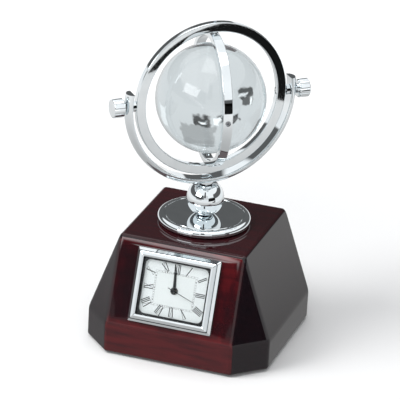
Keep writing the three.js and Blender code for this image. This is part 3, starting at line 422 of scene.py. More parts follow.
slope_lean = math.atan2((PLINTH_WIDTH - PLINTH_TOP) / 2, PLINTH_HEIGHT - BAND_TOP)
slope_middle = vector((0, -(PLINTH_WIDTH + PLINTH_TOP) / 4, (BAND_TOP + PLINTH_HEIGHT) / 2))
globe_middle = Matrix.Translation(vector((0, 0, GLOBE_HEIGHT)))
INSERT = Matrix.Translation(slope_middle) @ Matrix.Rotation(math.pi / 2 - slope_lean, 4, "X")
CRADLE = globe_middle @ Matrix.Rotation(math.radians(SWIVEL_TURN), 4, "Z")
MERIDIAN = CRADLE @ Matrix.Rotation(math.radians(MERIDIAN_TURN), 4, "Z")
ALONG_X = Matrix.Rotation(math.pi / 2, 4, "Y")
ALONG_MINUS_X = Matrix.Rotation(-math.pi / 2, 4, "Y")
HOOP = Matrix.Rotation(math.pi / 2, 4, "X")
UPRIGHT = Matrix.Identity(4)


# Mesh helpers

def make_object(name, bm, material=None):
    """Turns a bmesh in metres into an object."""
    bmesh.ops.remove_doubles(bm, verts=bm.verts, dist=MERGE_DISTANCE)
    bmesh.ops.recalc_face_normals(bm, faces=bm.faces)
    mesh = bpy.data.meshes.new(name)
    bm.to_mesh(mesh)
    bm.free()
    obj = bpy.data.objects.new(name, mesh)
    bpy.context.scene.collection.objects.link(obj)
    if material:
        mesh.materials.append(material)
    return obj


def bake(obj):
    """Applies an object's modifiers."""
    evaluated = obj.evaluated_get(bpy.context.evaluated_depsgraph_get())
    mesh = bpy.data.meshes.new_from_object(evaluated)
    obj.modifiers.clear()
    obj.data = mesh


def combine(obj, bm, operation):
    """Joins a bmesh to an object, or takes it away."""
    tool = make_object("tool", bm)
    step = obj.modifiers.new("combine", "BOOLEAN")
    step.operation = operation
    step.object = tool
    step.solver = "EXACT"
    bake(obj)
    bpy.data.objects.remove(tool)


def polish(obj, sharp):
    """Smooths all but the edges above an angle in degrees; flat faces still reflect as flats."""
    bm = bmesh.new()
    bm.from_mesh(obj.data)
    for face in bm.faces:
        face.smooth = True
    for edge in bm.edges:
        edge.smooth = len(edge.link_faces) == 2 and edge.calc_face_angle(0) < math.radians(sharp)
    bm.to_mesh(obj.data)
    bm.free()
    weights = obj.modifiers.new("flats", "WEIGHTED_NORMAL")
    weights.keep_sharp = True
    weights.weight = FLAT_WEIGHT
    bake(obj)


def fit_out(obj, body, slot, sharp, *nodes):
    """Finishes a piece: faces, the body it moves with and the nodes it replaces; its slot is not
    used.
    """
    polish(obj, sharp)
    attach(obj, body)
    if nodes:
        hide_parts(*nodes)


def add_loops(bm, loops, wrap):
    """Joins closed rows of points into quads.

    The last row joins the first where wrap is true. Otherwise both are capped.
    """
    rows = [[bm.verts.new(point) for point in loop] for loop in loops]
    pairs = list(zip(rows, rows[1:]))
    if wrap:
        pairs.append((rows[-1], rows[0]))
    for low, high in pairs:
        count = len(low)
        for i in range(count):
            j = (i + 1) % count
            bm.faces.new((low[i], low[j], high[j], high[i]))
    if not wrap:
        bm.faces.new(rows[0][::-1])
        bm.faces.new(rows[-1])


def placed(points, place):
    """Points in millimetres, put in place in metres."""
    return [place @ vector(point) for point in points]


def lathe(profile, place, sides, closed=False):
    """A bmesh turned about Z from (radius, height) points, then placed."""
    bm = bmesh.new()
    turn = [2 * math.pi * i / sides for i in range(sides)]
    loops = []
    for radius, height in profile:
        points = [(radius * math.cos(a), radius * math.sin(a), height) for a in turn]
        loops.append(placed(points, place))
    add_loops(bm, loops, closed)
    return bm


def rod(radius, low, high, place, sides=ROD_SIDES):
    return lathe([(radius, low), (radius, high)], place, sides)


def arc(middle, radius, start, end, steps):
    """Points along an arc, angles in degrees."""
    angles = [math.radians(start + (end - start) * i / steps) for i in range(steps + 1)]
    return [(middle[0] + radius * math.cos(a), middle[1] + radius * math.sin(a)) for a in angles]


def rounded_loop(width, height, radius, steps=CORNER_STEPS):
    """Points round a rectangle with rounded corners."""
    points = []
    for quarter, (sx, sy) in enumerate(((1, -1), (1, 1), (-1, 1), (-1, -1))):
        middle = (sx * (width / 2 - radius), sy * (height / 2 - radius))
        start = 90 * (quarter - 1)
        points += arc(middle, radius, start, start + 90, steps)
    return points


def add_prism(bm, outline, low, high, place):
    """Adds a flat outline between two heights to a bmesh."""
    add_loops(bm, [placed([(x, y, z) for x, y in outline], place) for z in (low, high)], False)


def prism(outline, low, high, place):
    bm = bmesh.new()
    add_prism(bm, outline, low, high, place)
    return bm


# Node helpers

class Nodes:
    """Short ways to build a node tree."""

    def __init__(self, tree):
        self.tree = tree

    def node(self, kind, **values):
        made = self.tree.nodes.new(kind)
        for key, value in values.items():
            if key in made.inputs:
                made.inputs[key].default_value = value
            else:
                setattr(made, key, value)
        return made

    def feed(self, value, socket):
        """Sets a socket from a number or another socket."""
        if isinstance(value, (int, float)):
            socket.default_value = value
        else:
            self.tree.links.new(value, socket)

    def calc(self, operation, first, second=0.0):
        made = self.node("ShaderNodeMath", operation=operation)
        self.feed(first, made.inputs[0])
        self.feed(second, made.inputs[1])
        return made.outputs["Value"]

    def span(self, value, start, end, low, high):
        """Goes smoothly from low to high while a value goes from start to end."""
        made = self.node("ShaderNodeMapRange", interpolation_type="SMOOTHSTEP")
        ends = {"From Min": start, "From Max": end, "To Min": low, "To Max": high}
        for key, number in ends.items():
            made.inputs[key].default_value = number
        self.feed(value, made.inputs["Value"])
        return made.outputs["Result"]

    def dot(self, source, axis):
        made = self.node("ShaderNodeVectorMath", operation="DOT_PRODUCT")
        made.inputs[1].default_value = axis
        self.feed(source, made.inputs[0])
        return made.outputs["Value"]

    def split(self, source):
        made = self.node("ShaderNodeSeparateXYZ")
        self.feed(source, made.inputs["Vector"])
        return made.outputs

    def coordinates(self, kind="Object"):
        return self.node("ShaderNodeTexCoord").outputs[kind]

    def noise(self, scale, detail, stretch=EVEN, roughness=NOISE_ROUGHNESS):
        mapping = self.node("ShaderNodeMapping", Scale=stretch)
        self.feed(self.coordinates(), mapping.inputs["Vector"])
        noise = self.node("ShaderNodeTexNoise", Scale=scale, Detail=detail, Roughness=roughness)
        self.feed(mapping.outputs["Vector"], noise.inputs["Vector"])
        return noise.outputs["Fac"]

    def ramp(self, source, stops):
        ramp = self.node("ShaderNodeValToRGB")
        elements = ramp.color_ramp.elements
        while len(elements) < len(stops):
            elements.new(0.5)  # its place is set below
        for element, (at, colour) in zip(elements, stops):
            element.position = at
            element.color = (*colour, 1)
        self.feed(source, ramp.inputs["Fac"])
        return ramp.outputs["Color"]

    def tones(self, source, dark, light):
        """Goes from a dark tone to a light one over the middle of a noise."""
        return self.ramp(source, list(zip(TONE_SPAN, (dark, light))))


class Surface(Nodes):
    """A material built on the principled shader."""

    def __init__(self, name):
        self.material = bpy.data.materials.new(name)
        self.material.use_nodes = True
        super().__init__(self.material.node_tree)
        self.shader = self.tree.nodes["Principled BSDF"]
        self.output = self.tree.nodes["Material Output"]

    def set(self, **values):
        """Sets the shader's sockets from numbers, colours or other sockets."""
        for key, value in values.items():
            socket = self.shader.inputs[key.replace("_", " ")]
            if isinstance(value, tuple):
                socket.default_value = value
            else:
                self.feed(value, socket)

    def bump(self, source, strength, distance):
        bump = self.node("ShaderNodeBump", Strength=strength, Distance=distance)
        self.feed(source, bump.inputs["Height"])
        self.feed(bump.outputs["Normal"], self.shader.inputs["Normal"])

    def blend(self, share, first, second):
        """Ends the material with a mix of two shaders: all of the second where share is 1."""
        mix = self.node("ShaderNodeMixShader")
        self.feed(share, mix.inputs["Fac"])
        self.feed(first, mix.inputs[1])
        self.feed(second, mix.inputs[2])
        self.feed(mix.outputs["Shader"], self.output.inputs["Surface"])


# Materials

def chrome():
    """Polished plate with a faint haze of wiping marks."""
    surface = Surface("chrome")
    haze = surface.noise(*CHROME_HAZE)
    colour = surface.tones(surface.noise(*CHROME_PATCHES), *CHROME_TONES)
    rough = surface.span(haze, 0, 1, *CHROME_ROUGH)
    surface.set(Metallic=1.0, Base_Color=colour, Roughness=rough)
    return surface.material


def veneer_depth(surface):
    """How red each face's veneer is.

    It is rich on the band, plain on top, a flame on the front and dark at the sides.
    The band's red also runs onto strips along the top and bottom of the front slope, as a painted
    highlight of their rounded edges.
    """
    place = surface.split(surface.coordinates())
    facing = surface.split(surface.coordinates("Normal"))
    front = surface.span(surface.calc("MULTIPLY", facing["Y"], -1), *VENEER_FRONT, 0, 1)
    level = surface.span(facing["Z"], *VENEER_LEVEL, 0, 1)
    sloping = surface.span(facing["Z"], *VENEER_SLOPING, 0, 1)
    wander = surface.calc("MULTIPLY", surface.noise(*WOOD_FLAME), FLAME_WANDER)
    flame = surface.span(surface.calc("ADD", place["X"], wander), *FLAME_SPAN, *RED_FLAME)
    blotches = surface.span(surface.noise(*WOOD_BLOTCHES), *BLOTCH_SPAN, *BLOTCH_SHARE)
    slope = surface.calc("MULTIPLY", sloping, surface.calc("MULTIPLY", flame, blotches))
    # Painted highlight: the band's red spreads onto the front slope's bottom and top strips, where
    # the rounded edges catch the light
    low = surface.span(place["Z"], BAND_TOP * MM, (BAND_TOP + CROWN_ROLL) * MM, 1, 0)
    high = surface.span(place["Z"], (PLINTH_HEIGHT - CROWN_ROLL) * MM, PLINTH_HEIGHT * MM, 0, 1)
    edges = surface.calc("MAXIMUM", low, high)
    band_and_highlight_strips = surface.calc("MAXIMUM", edges, surface.calc("SUBTRACT", 1, sloping))
    rich = surface.calc("MULTIPLY", band_and_highlight_strips, RED_BAND_AND_HIGHLIGHTS)
    fronts = surface.calc("MULTIPLY", front, surface.calc("ADD", rich, slope))
    tops = surface.calc("MULTIPLY", level, RED_TOP)
    return surface.calc("ADD", RED_BASE, surface.calc("ADD", fronts, tops))


def lacquered_wood():
    """Dark red veneer under a clear, deep lacquer."""
    surface = Surface("lacquered_wood")
    grain = surface.noise(*WOOD_GRAIN)
    share = surface.span(grain, *TONE_SPAN, *GRAIN_SHARE)
    depth = surface.calc("MULTIPLY", veneer_depth(surface), share)
    rough = surface.span(grain, 0, 1, *WOOD_ROUGH)
    colour = surface.ramp(depth, WOOD_COLOURS)
    surface.set(Base_Color=colour, Roughness=rough, Specular_IOR_Level=0.0)
    surface.set(Coat_Weight=0.9, Coat_Roughness=0.012, Coat_IOR=1.5)
    return surface.material


def felt():
    surface = Surface("felt")
    fibre = surface.noise(*FELT_FIBRE)
    colour = surface.tones(fibre, *FELT_TONES)
    surface.set(Base_Color=colour, Roughness=1.0, Sheen_Weight=0.3)
    surface.bump(fibre, *FELT_BUMP)
    return surface.material


def tinted(name, dark, light, rough, metallic, scale, stretch=EVEN):
    """A plain part's finish: two near tones, uneven gloss and a fine grain."""
    surface = Surface(name)
    grain = surface.noise(scale, GRAIN_DETAIL, stretch)
    colour = surface.tones(grain, dark, light)
    surface.set(Base_Color=colour, Roughness=surface.span(grain, 0, 1, *rough), Metallic=metallic)
    surface.bump(grain, *GRAIN_BUMP)
    return surface.material


def crystal():
    """Clear optical crystal with a trace of surface marks."""
    surface = Surface("crystal")
    rough = surface.span(surface.noise(*CRYSTAL_MARKS), 0, 1, *CRYSTAL_ROUGH)
    surface.set(Roughness=rough, Base_Color=(0.91, 0.97, 0.985, 1))
    surface.set(Transmission_Weight=1.0, IOR=1.5)
    return surface.material


def frosted_land():
    """Etched land: a thin white frost that lets most of the light through."""
    surface = Surface("frosted_land")
    frost = surface.noise(*LAND_FROST)
    colour = surface.tones(frost, *FROST_TONES)
    surface.set(Base_Color=colour, Roughness=0.7, Alpha=surface.span(frost, 0, 1, *FROST_OPACITY))
    surface.bump(frost, *FROST_BUMP)
    return surface.material


def pane():
    """Thin flat glass: clear from the front, with a weak reflection."""
    surface = Surface("clock_pane")
    gloss = surface.node("ShaderNodeBsdfGlossy")
    rough = surface.span(surface.noise(*PANE_MARKS), 0, 1, *PANE_ROUGH)
    surface.feed(rough, gloss.inputs["Roughness"])
    clear = surface.node("ShaderNodeBsdfTransparent", Color=(0.975, 0.985, 0.985, 1))
    facing = surface.node("ShaderNodeLayerWeight").outputs["Facing"]
    glance = surface.calc("MULTIPLY", surface.calc("POWER", facing, PANE_FALL), PANE_GLANCE)
    mirrored = surface.calc("ADD", PANE_MIRROR, glance)
    surface.blend(mirrored, clear.outputs["BSDF"], gloss.outputs["BSDF"])
    return surface.material


MATERIALS = {
    "chrome": chrome(),
    "lacquered_wood": lacquered_wood(),
    "felt": felt(),
    "crystal": crystal(),
    "frosted_land": frosted_land(),
    "glass": pane(),
}
for finish_name, finish in PLAIN_FINISHES.items():
    MATERIALS[finish_name] = tinted(finish_name, *finish)

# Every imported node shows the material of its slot
for part in frame["record"]["subparts"]:
    cad_mesh = frame["nodes"][part["node"]].data
    cad_mesh.materials.clear()
    cad_mesh.materials.append(MATERIALS[part["material_slot"]])


# Plinth, disc and ball

def octagon(half, side, height):
    points = ((half, side), (side, half), (-side, half), (-half, side),
              (-half, -side), (-side, -half), (side, -half), (half, -side))
    return [vector((x, y, height)) for x, y in points]


def front_crown():
    """Corners of the rows that bulge the front slope."""
    points = []
    length = math.hypot((PLINTH_WIDTH - PLINTH_TOP) / 2, PLINTH_HEIGHT - BAND_TOP)
    for step in range(CROWN_STEPS + 1):
        inset = CROWN_START + (CROWN_ROLL - CROWN_START) * step / CROWN_STEPS
        rise = CROWN_RISE * (1 - (1 - inset / CROWN_ROLL) ** 2)
        low = PLINTH_WIDTH / 2 - PLINTH_CORNER - inset
        high = PLINTH_TOP / 2 - inset
        up = length / 2 - inset
        for x, y in ((-low, -up), (low, -up), (high, up), (-high, up)):
            points.append(INSERT @ vector((x, y, rise)))
    return points


def plinth():
    half = PLINTH_WIDTH / 2
    side = half - PLINTH_CORNER
    top = PLINTH_TOP / 2
    corners = octagon(half, side, PLINTH_FOOT) + octagon(half, side, BAND_TOP)
    for sx, sy in ((1, 1), (-1, 1), (-1, -1), (1, -1)):
        corners.append(vector((sx * top, sy * top, PLINTH_HEIGHT)))
    bm = bmesh.new()
    outer = {bm.verts.new(corner) for corner in corners}
    for point in front_crown():
        bm.verts.new(point)
    bmesh.ops.convex_hull(bm, input=bm.verts)
    bmesh.ops.dissolve_limit(bm, angle_limit=FLAT_ANGLE, verts=bm.verts, edges=bm.edges)
    rounded = [edge for edge in bm.edges if outer.issuperset(edge.verts)]
    bmesh.ops.bevel(bm, geom=rounded, offset=PLINTH_ROUND * MM, segments=PLINTH_ROUND_STEPS,
                    profile=ROUND_PROFILE, affect="EDGES", clamp_overlap=True)
    obj = make_object("plinth_visual", bm, MATERIALS["lacquered_wood"])
    seat_width = BEZEL_WIDTH + 2 * BEZEL_SEAT_GAP
    seat_height = BEZEL_HEIGHT + 2 * BEZEL_SEAT_GAP
    seat = prism(rounded_loop(seat_width, seat_height, BEZEL_CORNER), 0, POCKET_DEPTH, INSERT)
    pocket = rod(POCKET_RADIUS, -POCKET_DEPTH, POCKET_DEPTH, INSERT, POCKET_SIDES)
    bolt_hole = rod(BOLT_HOLE, 0, PLINTH_HEIGHT + DISC_THICK, UPRIGHT)
    counterbore = rod(COUNTERBORE_RADIUS, 0, COUNTERBORE_DEPTH, UPRIGHT, COUNTERBORE_SIDES)
    for hole in (seat, pocket, bolt_hole, counterbore):
        combine(obj, hole, "DIFFERENCE")
    fit_out(obj, "plinth", "lacquered_wood", PLINTH_SHARP, "plinth_block")


def flange_disc():
    low = PLINTH_HEIGHT
    high = low + DISC_THICK
    squash = DISC_THICK / 2 / DISC_NOSE
    rim = arc((DISC_RADIUS - DISC_NOSE, 0), DISC_NOSE, -90, 90, DISC_NOSE_STEPS)
    nose = [(r, low + DISC_THICK / 2 + z * squash) for r, z in rim]
    groove_outer = DISC_RADIUS - DISC_GROOVE_INSET
    groove_inner = groove_outer - DISC_GROOVE_WIDTH
    groove = [
        (groove_outer, high),
        (groove_outer - DISC_GROOVE_SLANT, high - DISC_GROOVE_DEPTH),
        (groove_inner + DISC_GROOVE_SLANT, high - DISC_GROOVE_DEPTH),
        (groove_inner, high),
    ]
    profile = [(BOLT_HOLE, low)] + nose + groove + [(BOLT_HOLE, high)]
    bm = lathe(profile, UPRIGHT, DISC_SIDES, True)
    obj = make_object("flange_disc_visual", bm, MATERIALS["chrome"])
    fit_out(obj, "plinth", "chrome", DISC_SHARP, "flange_disc")


def ball_post():
    foot = PLINTH_HEIGHT + DISC_THICK
    middle = foot + BALL_FOOT
    top = middle + BALL_CROWN
    low = -math.degrees(math.asin(BALL_FOOT / BALL_RADIUS))
    high = math.degrees(math.asin(BALL_CROWN / BALL_RADIUS))
    skin = arc((0, middle), BALL_RADIUS, low, high, BALL_STEPS)
    screw_hole = [(SHAFT_HOLE, top), (SHAFT_HOLE, top - SCREW_HOLE_DEPTH)]
    profile = [(BOLT_HOLE, foot)] + skin + screw_hole + [(BOLT_HOLE, foot + BOLT_HOLE_DEPTH)]
    bm = lathe(profile, UPRIGHT, BALL_SIDES, True)
    obj = make_object("ball_post_visual", bm, MATERIALS["chrome"])
    fit_out(obj, "plinth", "chrome", SHARP, "ball_post")


# Rings, knobs and globe

def cradle_section():
    """Closed (radius, across) section of the cradle arm: half-round outside, flat inside."""
    half = CRADLE_WIDTH / 2
    start = CRADLE_INNER + CRADLE_EDGE
    rise = CRADLE_OUTER - start
    dome = [(start + rise * x, half * y) for x, y in arc((0, 0), 1, -90, 90, DOME_STEPS)]
    upper = arc((start, half - CRADLE_EDGE), CRADLE_EDGE, 90, 180, EDGE_STEPS)
    lower = arc((start, CRADLE_EDGE - half), CRADLE_EDGE, 180, 270, EDGE_STEPS)
    return dome + upper[1:] + lower[:-1]


def cradle_arm():
    loops = []
    for step in range(CRADLE_STEPS + 1):
        points = []
        for radius, across in cradle_section():
            lift = math.asin(CRADLE_END / radius)
            angle = lift - (math.pi + 2 * lift) * step / CRADLE_STEPS
            points.append((radius * math.cos(angle), across, radius * math.sin(angle)))
        loops.append(placed(points, CRADLE))
    bm = bmesh.new()
    add_loops(bm, loops, False)
    obj = make_object("cradle_arm_visual", bm, MATERIALS["chrome"])
    pad = [
        (PAD_RADIUS - PAD_EDGE, -PAD_FOOT),
        (PAD_RADIUS, PAD_EDGE - PAD_FOOT),
        (PAD_RADIUS, -RECESS_FLOOR),
    ]
    combine(obj, lathe(pad, CRADLE, PAD_SIDES), "UNION")
    reach = CRADLE_OUTER + CRADLE_WIDTH
    recess_top = CUT_PAST - CRADLE_INNER
    knob_holes = rod(SHAFT_HOLE, -reach, reach, CRADLE @ ALONG_X)
    screw_hole = rod(SHAFT_HOLE, -reach, recess_top, CRADLE)
    recess = rod(RECESS_RADIUS, -RECESS_FLOOR, recess_top, CRADLE)
    for hole in (knob_holes, screw_hole, recess):
        combine(obj, hole, "DIFFERENCE")
    fit_out(obj, "cradle", "chrome", SHARP, "cradle_arm")


def flat_ring(node, body, place, inner, outer, width, holes):
    middle = (inner + outer) / 2
    corners = rounded_loop(outer - inner, width, RING_EDGE, EDGE_STEPS)
    section = [(middle + x, y) for x, y in corners]
    bm = lathe(section, place @ HOOP, RING_SIDES, True)
    obj = make_object(node + "_visual", bm, MATERIALS["chrome"])
    reach = outer + CUT_PAST
    for radius, axis in holes:
        combine(obj, rod(radius, -reach, reach, axis), "DIFFERENCE")
    fit_out(obj, body, "chrome", RING_SHARP, node)


def fluted_knob(side, turn):
    place = CRADLE @ turn
    count = KNOB_FLUTES * FLUTE_STEPS
    end = KNOB_START + KNOB_LENGTH
    plain = KNOB_RADIUS - KNOB_EDGE

    def reach(radius, depth, angle):
        """Narrow round flutes between wide lands."""
        along = abs((KNOB_FLUTES * angle / (2 * math.pi)) % 1 - 0.5) * 2 / KNOB_FLUTE_SHARE
        return radius - depth * math.sqrt(max(0, 1 - along * along))

    def ring(radius, depth, height):
        angles = [2 * math.pi * i / count for i in range(count)]
        reaches = [reach(radius, depth, angle) for angle in angles]
        points = [(r * math.cos(a), r * math.sin(a), height) for r, a in zip(reaches, angles)]
        return placed(points, place)

    shoulders = arc((plain, end - KNOB_EDGE), KNOB_EDGE, 0, 90, EDGE_STEPS)
    loops = [
        ring(SHAFT_RADIUS, 0, SHAFT_START),
        ring(SHAFT_RADIUS, 0, NECK_START),
        ring(NECK_RADIUS, 0, NECK_START),
        ring(NECK_RADIUS, 0, KNOB_START),
        ring(plain, 0, KNOB_START),
        ring(KNOB_RADIUS, KNOB_FLUTE_DEPTH, KNOB_START + KNOB_EDGE),
    ]
    loops += [ring(r, KNOB_FLUTE_DEPTH * (r - plain) / KNOB_EDGE, z) for r, z in shoulders]
    bm = bmesh.new()
    add_loops(bm, loops, False)
    obj = make_object("knob_%s_visual" % side, bm, MATERIALS["chrome"])
    fit_out(obj, "tilt", "chrome", SHARP, "knob_%s" % side)


def cut_pin_holes(obj, depth):
    """Cuts the two holes for the globe's pins, from its skin inwards."""
    for turn in (ALONG_X, ALONG_MINUS_X):
        hole = rod(PIN_HOLE, GLOBE_RADIUS - depth, GLOBE_RADIUS + CUT_PAST, MERIDIAN @ turn)
        combine(obj, hole, "DIFFERENCE")


def crystal_globe():
    profile = arc((0, 0), GLOBE_RADIUS, -GLOBE_POLE, GLOBE_POLE, GLOBE_STEPS)
    bm = lathe(profile, MERIDIAN, GLOBE_SIDES)
    obj = make_object("crystal_globe_visual", bm, MATERIALS["crystal"])
    cut_pin_holes(obj, PIN_DEPTH)
    fit_out(obj, "globe", "crystal", SHARP, "crystal_globe")


def land():
    """Etched land as one thin shell just outside the globe."""
    bm = bmesh.new()
    for outline in LAND_OUTLINES.values():
        face = bm.faces.new([bm.verts.new((lon, lat, 0)) for lon, lat in outline])
        bmesh.ops.triangulate(bm, faces=[face])
    for _ in range(LAND_PASSES):
        long_edges = [edge for edge in bm.edges if edge.calc_length() > LAND_EDGE]
        bmesh.ops.subdivide_edges(bm, edges=long_edges, cuts=1)
        bmesh.ops.triangulate(bm, faces=[face for face in bm.faces if len(face.verts) > 3])
    shell = bmesh.ops.extrude_face_region(bm, geom=bm.faces[:], use_keep_orig=True)["geom"]
    for element in shell:
        if isinstance(element, bmesh.types.BMVert):
            element.co.z = LAND_THICK
    for vert in bm.verts:
        reach = GLOBE_RADIUS + LAND_RISE + vert.co.z
        lon = math.radians(vert.co.x + LAND_TURN)
        lat = math.radians(vert.co.y)
        level = reach * math.cos(lat)
        point = (level * math.cos(lon), level * math.sin(lon), reach * math.sin(lat))
        vert.co = MERIDIAN @ vector(point)
    obj = make_object("etched_land", bm, MATERIALS["frosted_land"])
    cut_pin_holes(obj, CUT_PAST)
    fit_out(obj, "globe", "crystal", SHARP)


# Clock insert

def bezel():
    """A section of insets, heights and corner radii, led round the clock's rectangle."""
    step_end = BEZEL_STEP_INSET + BEZEL_STEP_LAND
    section = [
        (0, BEZEL_FOOT, BEZEL_CORNER),
        (0, BEZEL_WALL, BEZEL_CORNER),
        (BEZEL_STEP_INSET, BEZEL_STEP, BEZEL_CORNER),
        (step_end, BEZEL_STEP, BEZEL_CORNER),
        (step_end, BEZEL_RIDGE, BEZEL_CORNER),
        (BEZEL_CREST_INSET, BEZEL_CREST, BEZEL_CORNER),
        (BEZEL_FRAME, BEZEL_LIP, BEZEL_CORNER),
        (BEZEL_FRAME, LIP_BACK, BEZEL_CORNER),
        (BEZEL_REBATE, LIP_BACK, REBATE_ROUND),
        (BEZEL_REBATE, BEZEL_FOOT, REBATE_ROUND),
    ]
    loops = []
    for inset, rise, radius in section:
        outline = rounded_loop(BEZEL_WIDTH - 2 * inset, BEZEL_HEIGHT - 2 * inset, radius)
        loops.append(placed([(x, y, rise) for x, y in outline], INSERT))
    bm = bmesh.new()
    add_loops(bm, loops, True)
    obj = make_object("clock_bezel_visual", bm, MATERIALS["chrome"])
    edge = Matrix.Translation(vector((NOTCH_OFFSET, BEZEL_HEIGHT / 2, 0)))
    notch = rounded_loop(NOTCH_WIDTH, 2 * NOTCH_DEPTH, NOTCH_DEPTH / 2)
    combine(obj, prism(notch, 0, BEZEL_WALL, INSERT @ edge), "DIFFERENCE")
    fit_out(obj, "insert", "chrome", BEZEL_SHARP, "clock_bezel")


def strip(bm, start, end, width, layer, place):
    """A thin printed line between two points on the dial."""
    (x1, y1), (x2, y2) = start, end
    length = math.hypot(x2 - x1, y2 - y1)
    nx = (y1 - y2) / length * width / 2
    ny = (x2 - x1) / length * width / 2
    rise = DIAL_FRONT + PRINT_RISE + layer * PRINT_LAYER
    corners = ((x1 + nx, y1 + ny), (x1 - nx, y1 - ny), (x2 - nx, y2 - ny), (x2 + nx, y2 + ny))
    add_prism(bm, corners, DIAL_FRONT, rise, place)


def numeral(bm, text, place):
    """A Roman numeral standing on the local X axis, its head towards +Y."""
    total = sum(LETTER_WIDTH[letter] for letter in text)
    head = NUMERAL_HEIGHT / 2
    x = -total / 2
    for letter in text:
        left = x + LETTER_MARGIN
        x += LETTER_WIDTH[letter]
        right = x - LETTER_MARGIN
        middle = (left + right) / 2
        if letter == "I":
            strip(bm, (middle, -head), (middle, head), THICK_STROKE, 0, place)
        else:
            foot_left, foot_right = (middle, middle) if letter == "V" else (left, right)
            strip(bm, (left, head), (foot_right, -head), THICK_STROKE, 0, place)
            strip(bm, (right, head), (foot_left, -head), THIN_STROKE, 1, place)
    serif = total / 2 - LETTER_MARGIN / 2
    for end in (-head, head):
        strip(bm, (-serif, end), (serif, end), SERIF_STROKE, 2, place)


def on_rectangle(angle, half_x, half_y):
    """The point of a rectangle in a direction from its middle, in radians from +X."""
    x = math.cos(angle)
    y = math.sin(angle)
    reach = 1 / max(abs(x) / half_x, abs(y) / half_y)
    return x * reach, y * reach


def dial_print():
    """Numerals round the dial and the dotted minute track round its middle panel."""
    bm = bmesh.new()
    numeral_x = DIAL_WIDTH / 2 - NUMERAL_INSET_X
    numeral_y = DIAL_HEIGHT / 2 - NUMERAL_INSET_Y
    for hour, text in enumerate(NUMERALS, 1):
        angle = math.radians(90 - HOUR_STEP * hour)
        x, y = on_rectangle(angle, numeral_x, numeral_y)
        spot = INSERT @ Matrix.Translation(vector((x, y, 0)))
        numeral(bm, text, spot @ Matrix.Rotation(angle - math.pi / 2, 4, "Z"))
    for grow in (0, TRACK_GAP):
        x = PANEL_WIDTH / 2 + grow
        y = PANEL_HEIGHT / 2 + grow
        corners = [(-x, -y), (x, -y), (x, y), (-x, y)]
        for start, end in zip(corners, corners[1:] + corners[:1]):
            strip(bm, start, end, TRACK_LINE, 0, INSERT)
    track_x = (PANEL_WIDTH + TRACK_GAP) / 2
    track_y = (PANEL_HEIGHT + TRACK_GAP) / 2
    for angle in range(0, 360, MINUTE_STEP):
        size = HOUR_DOT if angle % HOUR_STEP == 0 else MINUTE_DOT
        x, y = on_rectangle(math.radians(angle), track_x, track_y)
        strip(bm, (x - size / 2, y), (x + size / 2, y), size, 1, INSERT)
    obj = make_object("dial_print", bm, MATERIALS["dial_print"])
    fit_out(obj, "insert", "black", DIAL_SHARP)


def dial_panel():
    """The dial's greyer middle panel."""
    outline = rounded_loop(PANEL_WIDTH, PANEL_HEIGHT, PANEL_ROUND)
    back = DIAL_FRONT + PRINT_LAYER
    bm = prism(outline, back, back + PRINT_LAYER, INSERT)
    obj = make_object("dial_panel", bm, MATERIALS["dial_panel"])
    hole = rod(DIAL_HOLE, DIAL_FRONT - CUT_PAST, DIAL_FRONT + CUT_PAST, INSERT)
    combine(obj, hole, "DIFFERENCE")
    fit_out(obj, "insert", "dial_card", DIAL_SHARP)


def hand(body, reach, tail, width, tip_width, hub, hole, back, turn):
    place = INSERT @ Matrix.Rotation(math.radians(turn), 4, "Z")
    half = width / 2
    tip = tip_width / 2
    shoulder = reach * HAND_SHOULDER
    outline = [(-half, -tail), (half, -tail), (half, shoulder)]
    outline += [(tip, reach), (-tip, reach), (-half, shoulder)]
    front = back + HAND_THICK
    capped = body == CAPPED_HAND
    hub_front = front + HAND_CAP if capped else front
    hole_front = front if capped else front + CUT_PAST
    obj = make_object(body + "_hand_visual", prism(outline, back, front, place), MATERIALS["black"])
    combine(obj, rod(hub, back, hub_front, place, HUB_SIDES), "UNION")
    combine(obj, rod(hole, back - CUT_PAST, hole_front, place), "DIFFERENCE")
    fit_out(obj, body, "black", DIAL_SHARP, body + "_hand")


plinth()
flange_disc()
ball_post()
cradle_arm()
flat_ring("tilt_ring", "tilt", CRADLE, TILT_INNER, TILT_OUTER, TILT_WIDTH,
          [(SHAFT_HOLE, CRADLE @ ALONG_X), (PIN_HOLE, CRADLE)])
flat_ring("meridian_ring", "meridian", MERIDIAN, MERIDIAN_INNER, MERIDIAN_OUTER, MERIDIAN_WIDTH,
          [(PIN_HOLE, MERIDIAN @ ALONG_X), (PIN_HOLE, MERIDIAN)])
fluted_knob("left", ALONG_MINUS_X)
fluted_knob("right", ALONG_X)
crystal_globe()
land()
bezel()
dial_panel()
dial_print()
for hand_body, sizes in HANDS.items():
    hand(hand_body, *sizes)


# Stage

